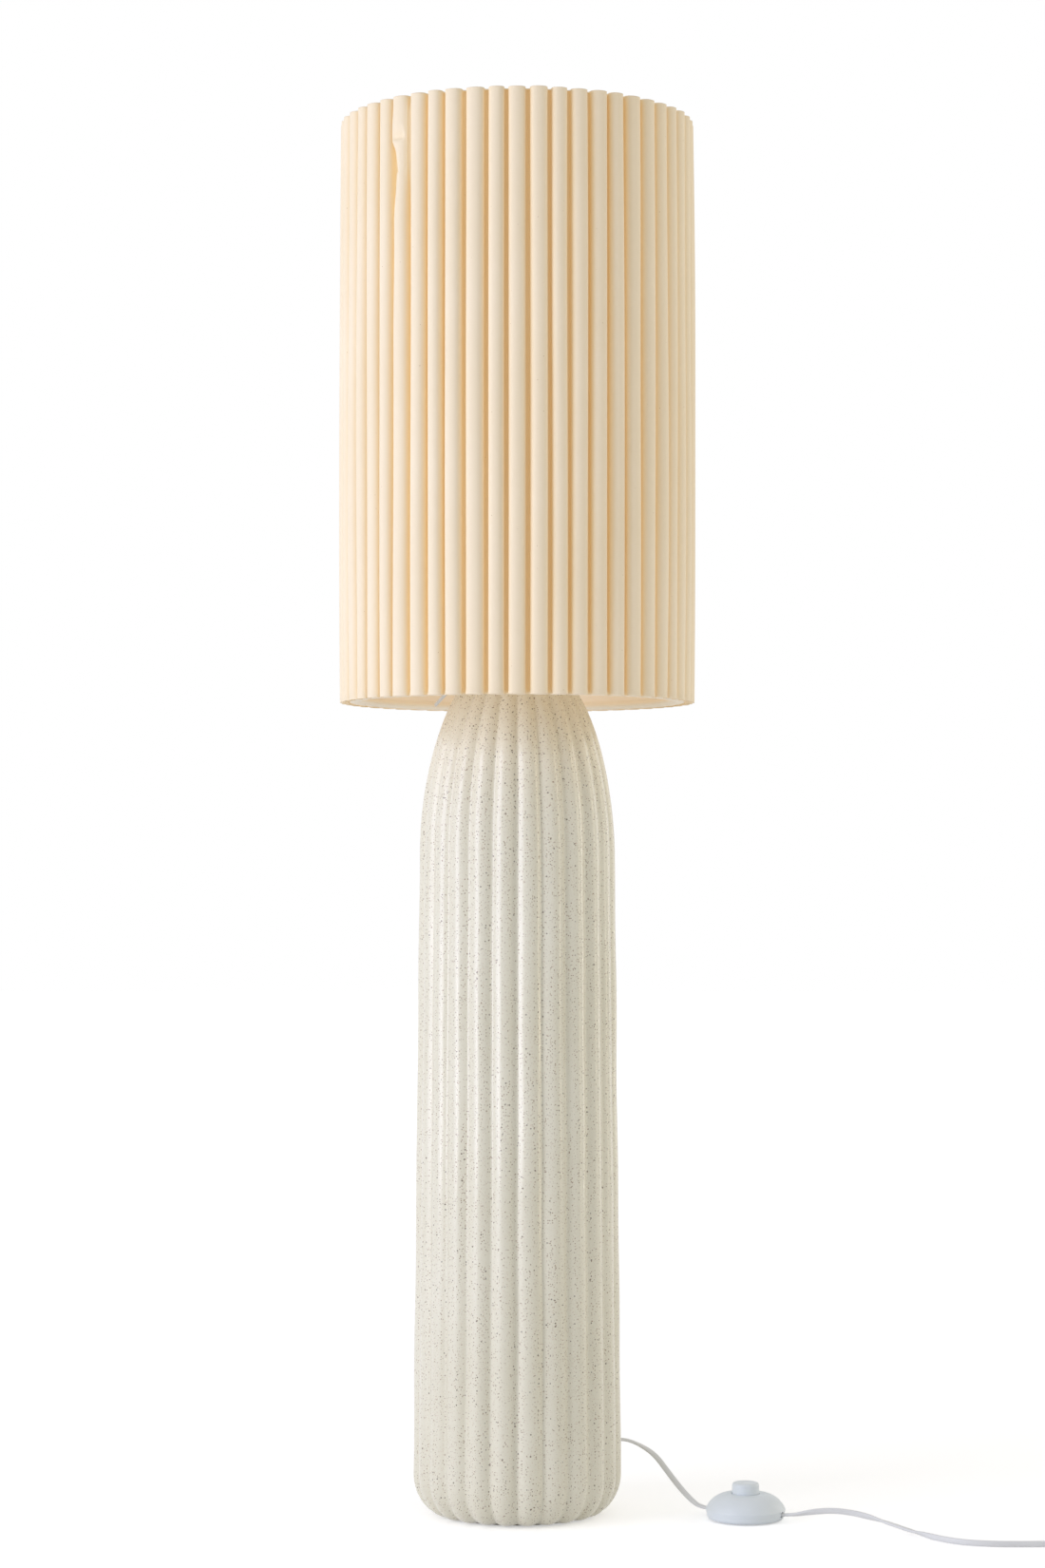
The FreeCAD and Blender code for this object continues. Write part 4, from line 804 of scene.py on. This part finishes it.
# Light and dark colour, smoothest and roughest, grain's scale and depth, clouds' scale, constants
SOLID_FINISHES = {
    "shade_liner": ((0.90, 0.81, 0.69), (0.875, 0.775, 0.645), 0.55, 0.7, 400.0, 0.03, 6.0, LINER_GLOW),
    "felt": ((0.66, 0.63, 0.56), (0.58, 0.55, 0.48), 0.9, 1.0, 1400.0, 0.25, 60.0),
    "white_rubber": (*WHITE, 0.55, 0.72, 700.0),
    "black_rubber": ((0.028, 0.028, 0.03), (0.018, 0.018, 0.019), 0.6, 0.78, 700.0),
    "white_steel": (*WHITE, 0.32, 0.46, 650.0, 0.025),
    "zinc_steel": ((0.62, 0.625, 0.64), (0.50, 0.505, 0.52), 0.26, 0.42, 500.0, 0.01, TONE_SCALE, METAL),
    "white_plastic": (*WHITE, 0.36, 0.52, 1200.0),
    "porcelain": ((0.83, 0.82, 0.79), (0.78, 0.77, 0.73), 0.4, 0.6, 500.0),
    "brass": ((0.76, 0.55, 0.22), (0.62, 0.43, 0.16), 0.25, 0.42, 500.0, 0.01, TONE_SCALE, METAL),
    "black_glass": ((0.022, 0.022, 0.026), (0.014, 0.014, 0.016), 0.12, 0.24, 300.0),
    "nickel_cap": ((0.70, 0.68, 0.64), (0.60, 0.58, 0.54), 0.2, 0.36, 500.0, 0.01, TONE_SCALE, METAL),
    "opal_globe": ((0.88, 0.88, 0.86), (0.85, 0.85, 0.82), 0.34, 0.46, GRAIN_SCALE, 0.01),
    "switch_plastic": ((0.79, 0.85, 0.885), (0.765, 0.825, 0.865), 0.34, 0.48, 1100.0),
    "black_plastic": ((0.035, 0.035, 0.036), (0.024, 0.024, 0.025), 0.42, 0.58),
    "spring_steel": ((0.55, 0.55, 0.57), (0.42, 0.42, 0.44), 0.22, 0.38, 500.0, 0.01, TONE_SCALE, METAL),
    "cord_sheath": ((0.83, 0.84, 0.845), (0.795, 0.805, 0.81), 0.42, 0.58, 800.0),
    "tie_strap": ((0.74, 0.74, 0.735), (0.69, 0.69, 0.685), 0.5, 0.66, 1500.0, 0.06),
    "plug_plastic": (*WHITE, 0.4, 0.55, 1000.0),
}


def solid_finish(name, light, dark, smooth, rough, grain_scale=GRAIN_SCALE, grain_mm=GRAIN_MM,
                 tone_scale=TONE_SCALE, constants=None):
    """A moulded, painted, rubber or metal surface: cloudy tone, fine grain and uneven gloss."""
    material, tree, shader = start_material(name)
    tone = place_group(tree, "tone", Light=(*light, 1), Dark=(*dark, 1), Scale=tone_scale)
    grain = place_group(tree, "grain", Scale=grain_scale, Smooth=smooth, Rough=rough)
    tree.links.new(tone["Color"], shader.inputs["Base Color"])
    tree.links.new(grain["Roughness"], shader.inputs["Roughness"])
    raise_surface(tree, shader, grain["Height"], grain_mm)
    set_constants(shader, constants or {})
    return material


GLAZE_LIGHT, GLAZE_DARK, GLAZE_CLOUDS = (0.826, 0.797, 0.66, 1), (0.786, 0.752, 0.605, 1), 9.0
GLAZE_GRAIN, GLAZE_SMOOTH, GLAZE_ROUGH, GLAZE_BUMP_MM = 260.0, 0.33, 0.46, 0.06
GLAZE_CONSTANTS = {"Specular IOR Level": 0.5, "Coat Weight": 0.5, "Coat Roughness": 0.12}
SPECK_PIT = -0.35
# Height in metres from and to which the glaze thins, and the share of dark specks below and above
THIN_FROM, THIN_TO, DARK_SHARE, DARK_SHARE_THIN = 0.58, 0.74, 0.44, 0.95


def speckled_glaze():
    """Satin off-white glaze with brown and black specks, more of them on the dome, where it is thin."""
    material, tree, shader = start_material("speckled_glaze")
    colour = place_group(tree, "tone", Light=GLAZE_LIGHT, Dark=GLAZE_DARK, Scale=GLAZE_CLOUDS)["Color"]
    height = split(tree, object_place(tree))[2]
    dark_share = rescale(tree, height, THIN_FROM, THIN_TO, DARK_SHARE, DARK_SHARE_THIN)
    # Scale, size, share, shift, colour and strength of each layer
    layers = (
        (760.0, 0.42, 0.70, 0.0, (0.56, 0.42, 0.28, 1), 0.55),
        (540.0, 0.37, 0.85, 3.1, (0.24, 0.13, 0.06, 1), 0.95),
        (270.0, 0.25, dark_share, 7.7, (0.08, 0.042, 0.022, 1), 1.0),
    )
    specks = 0.0
    for scale, size, share, shift, paint, strength in layers:
        mask = place_group(tree, "flecks", Scale=scale, Size=size, Share=share, Shift=shift)["Mask"]
        strong = maths(tree, "MULTIPLY", mask, strength)
        colour = blend_colour(tree, strong, colour, paint)
        specks = maths(tree, "MAXIMUM", specks, strong)
    tree.links.new(colour, shader.inputs["Base Color"])
    grain = place_group(tree, "grain", Scale=GLAZE_GRAIN, Smooth=GLAZE_SMOOTH, Rough=GLAZE_ROUGH)
    tree.links.new(grain["Roughness"], shader.inputs["Roughness"])
    pitted = maths(tree, "MULTIPLY_ADD", specks, SPECK_PIT, grain["Height"])
    raise_surface(tree, shader, pitted, GLAZE_BUMP_MM)
    set_constants(shader, GLAZE_CONSTANTS)
    return material


# Light, dark and seed colours, threads a metre, sheen, and the painted warm shade down in the pleats
WOVEN_FINISHES = {
    "pleated_cloth": ((0.89, 0.80, 0.64), (0.865, 0.765, 0.587), (0.42, 0.28, 0.15), 1300.0, 0.12,
                      (0.915, 0.765, 0.47)),
    "binding_tape": ((0.90, 0.835, 0.72), (0.87, 0.79, 0.66), (0.5, 0.36, 0.2), 900.0, 0.1),
}
CREST_GLOW, VALLEY_GLOW, TAPE_GLOW = (0.46, 0.31, 0.14, 1), (0.38, 0.21, 0.07, 1), (0.62, 0.50, 0.34, 1)
WOVEN_CLOUDS, WOVEN_SLUB, VALLEY_SHADE_SHARE = 7.0, 0.6, 0.6
YARN_RANGE, YARN_SHARE = (0.35, 0.65), 0.22
SEEDS = {"Scale": 170.0, "Size": 0.1, "Share": 0.22, "Shift": 1.7}
SEED_STRENGTH = 0.7
WEAVE_MM, WEAVE_STRENGTH = 0.12, 0.6
WOVEN_CONSTANTS = {"Emission Strength": 0.24, "Roughness": 0.88, "Specular IOR Level": 0.18,
                   "Sheen Roughness": 0.5}
CREST_MARGIN, VALLEY_MARGIN = 0.6, 2.5


def deep_in_pleats(tree):
    """0 on the pleats' crests and 1 down in their valleys, from the distance to the shade's axis."""
    spot = split(tree, object_place(tree))
    squares = maths(tree, "MULTIPLY_ADD", spot[0], spot[0], maths(tree, "MULTIPLY", spot[1], spot[1]))
    radius = maths(tree, "SQRT", squares)
    return rescale(tree, radius, (SHADE_RADIUS - CREST_MARGIN) * MM, (VALLEY_RADIUS + VALLEY_MARGIN) * MM)


def woven_finish(name, light, dark, seed, threads, sheen, valley_shade=None):
    """Natural cloth: weave, uneven yarns and seeds; valley_shade is painted warm shade down in the pleats,
    which also glow.
    """
    material, tree, shader = start_material(name)
    tone = place_group(tree, "tone", Light=(*light, 1), Dark=(*dark, 1), Scale=WOVEN_CLOUDS)
    weave = place_group(tree, "weave", Threads=threads, Slub=WOVEN_SLUB)
    yarn = rescale(tree, weave["Yarn"], *YARN_RANGE, 0.0, YARN_SHARE)
    colour = blend_colour(tree, yarn, tone["Color"], (*dark, 1))
    seeds = maths(tree, "MULTIPLY", place_group(tree, "flecks", **SEEDS)["Mask"], SEED_STRENGTH)
    colour = blend_colour(tree, seeds, colour, (*seed, 1))
    if valley_shade:
        share = deep_in_pleats(tree)
        # Painted shade: a warmer, darker colour blended in towards the pleats' valleys
        colour = blend_colour(tree, maths(tree, "MULTIPLY", share, VALLEY_SHADE_SHARE), colour, (*valley_shade, 1))
        tree.links.new(blend_colour(tree, share, CREST_GLOW, VALLEY_GLOW), shader.inputs["Emission Color"])
    else:
        shader.inputs["Emission Color"].default_value = TAPE_GLOW
    tree.links.new(colour, shader.inputs["Base Color"])
    raise_surface(tree, shader, weave["Height"], WEAVE_MM, WEAVE_STRENGTH)
    set_constants(shader, {**WOVEN_CONSTANTS, "Sheen Weight": sheen})
    return material


def make_materials():
    made = {"speckled_glaze": speckled_glaze()}
    for name, settings in WOVEN_FINISHES.items():
        made[name] = woven_finish(name, *settings)
    for name, settings in SOLID_FINISHES.items():
        made[name] = solid_finish(name, *settings)
    return made


def dress_everything():
    """Gives each node and each new piece the finish of its slot."""
    finish_of = {part["node"]: part["material_slot"] for part in frame["record"]["subparts"]}
    dressed = [(node, finish_of[name]) for name, node in nodes.items()]
    new_pieces = [piece for piece in scene.objects if piece.type == "MESH" and "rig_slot" in piece]
    dressed += [(piece, piece["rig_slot"]) for piece in new_pieces]
    for piece, slot in dressed:
        piece.data.materials.clear()
        piece.data.materials.append(finishes[slot])


# Studio, in metres

FLOOR_COLOUR, FLOOR_REACH, FLOOR_DROP = (0.88, 0.88, 0.88, 1), 14.0, 0.0004
# The floor's glow near the lamp, which leaves its shadow, and far off, with both distances
FLOOR_GLOW_NEAR, FLOOR_GLOW_FAR, FLOOR_NEAR, FLOOR_FAR = 0.45, 0.6, 0.8, 3.5
WORLD_LIGHT = 0.52
# Place, target, width, height, watts and colour
SOFT_BOXES = {
    "key_left": ((-2.8, -1.56, 1.15), (0, 0, 0.7), 1.9, 2.2, 39.5, (0.97, 0.98, 1.2)),
    "low_left": ((-2.35, -1.95, 0.3), (0, 0, 0.75), 1.3, 0.45, 7, (1.0, 0.98, 1.02)),
    "strip_right": ((2.78, -0.36, 1.0), (0, 0, 0.65), 0.22, 2.0, 11, (1.0, 0.88, 0.68)),
    "edge_right": ((2.1, 1.25, 0.9), (0, 0, 0.55), 0.08, 1.7, 5, (1.0, 0.92, 0.78)),
}


def background_rays(tree):
    """1 for the rays that show the background: the camera's, mirrored ones and those through glass."""
    path = add(tree, "ShaderNodeLightPath").outputs
    bent = maths(tree, "MAXIMUM", path["Is Glossy Ray"], path["Is Transmission Ray"])
    return maths(tree, "MAXIMUM", path["Is Camera Ray"], bent)


def make_floor():
    material, tree, shader = start_material("studio_floor")
    set_constants(shader, {"Base Color": FLOOR_COLOUR, "Roughness": 0.9, "Specular IOR Level": 0.0})
    away = add(tree, "ShaderNodeVectorMath", {0: object_place(tree)}, operation="LENGTH").outputs["Value"]
    level = rescale(tree, away, FLOOR_NEAR, FLOOR_FAR, FLOOR_GLOW_NEAR, FLOOR_GLOW_FAR)
    strength = maths(tree, "MULTIPLY", background_rays(tree), level)
    glow = add(tree, "ShaderNodeEmission", {"Color": (1, 1, 1, 1), "Strength": strength})
    both = add(tree, "ShaderNodeAddShader", {0: shader.outputs[0], 1: glow.outputs[0]})
    tree.links.new(both.outputs[0], tree.nodes["Material Output"].inputs["Surface"])
    mesh = bpy.data.meshes.new("studio_floor")
    corners = [(x * FLOOR_REACH, y * FLOOR_REACH, 0) for x, y in ((-1, -1), (1, -1), (1, 1), (-1, 1))]
    mesh.from_pydata(corners, [], [(0, 1, 2, 3)])
    mesh.materials.append(material)
    floor = bpy.data.objects.new("studio_floor", mesh)
    floor.location.z = -FLOOR_DROP
    scene.collection.objects.link(floor)


def make_world():
    world = bpy.data.worlds.new("studio_world")
    scene.world = world
    world.use_nodes = True
    tree = world.node_tree
    background = tree.nodes["Background"].inputs
    background["Color"].default_value = (1, 1, 1, 1)
    strength = maths(tree, "MULTIPLY_ADD", background_rays(tree), 1 - WORLD_LIGHT, WORLD_LIGHT)
    tree.links.new(strength, background["Strength"])


def soft_box(name, place, target, width, height, watts, colour):
    data = bpy.data.lights.new(name, "AREA")
    data.shape = "RECTANGLE"
    data.size, data.size_y = width, height
    data.energy = watts
    data.color = colour
    box = bpy.data.objects.new(name, data)
    box.location = place
    box.rotation_euler = (Vector(target) - Vector(place)).to_track_quat("-Z", "Y").to_euler()
    scene.collection.objects.link(box)


def make_studio():
    make_floor()
    make_world()
    for name, settings in SOFT_BOXES.items():
        soft_box(name, *settings)
    scene.view_settings.view_transform = "Standard"


make_camera()
make_cords()
ceramic_base()
pleated_cloth()
edge_tape("bottom_tape", "shade_bottom_binding", SHADE_BOTTOM, 1)
edge_tape("top_tape", "shade_top_binding", SHADE_TOP, -1)
groups = {
    "tone": make_tone_group(),
    "grain": make_grain_group(),
    "flecks": make_fleck_group(),
    "weave": make_weave_group(),
}
finishes = make_materials()
dress_everything()
make_studio()
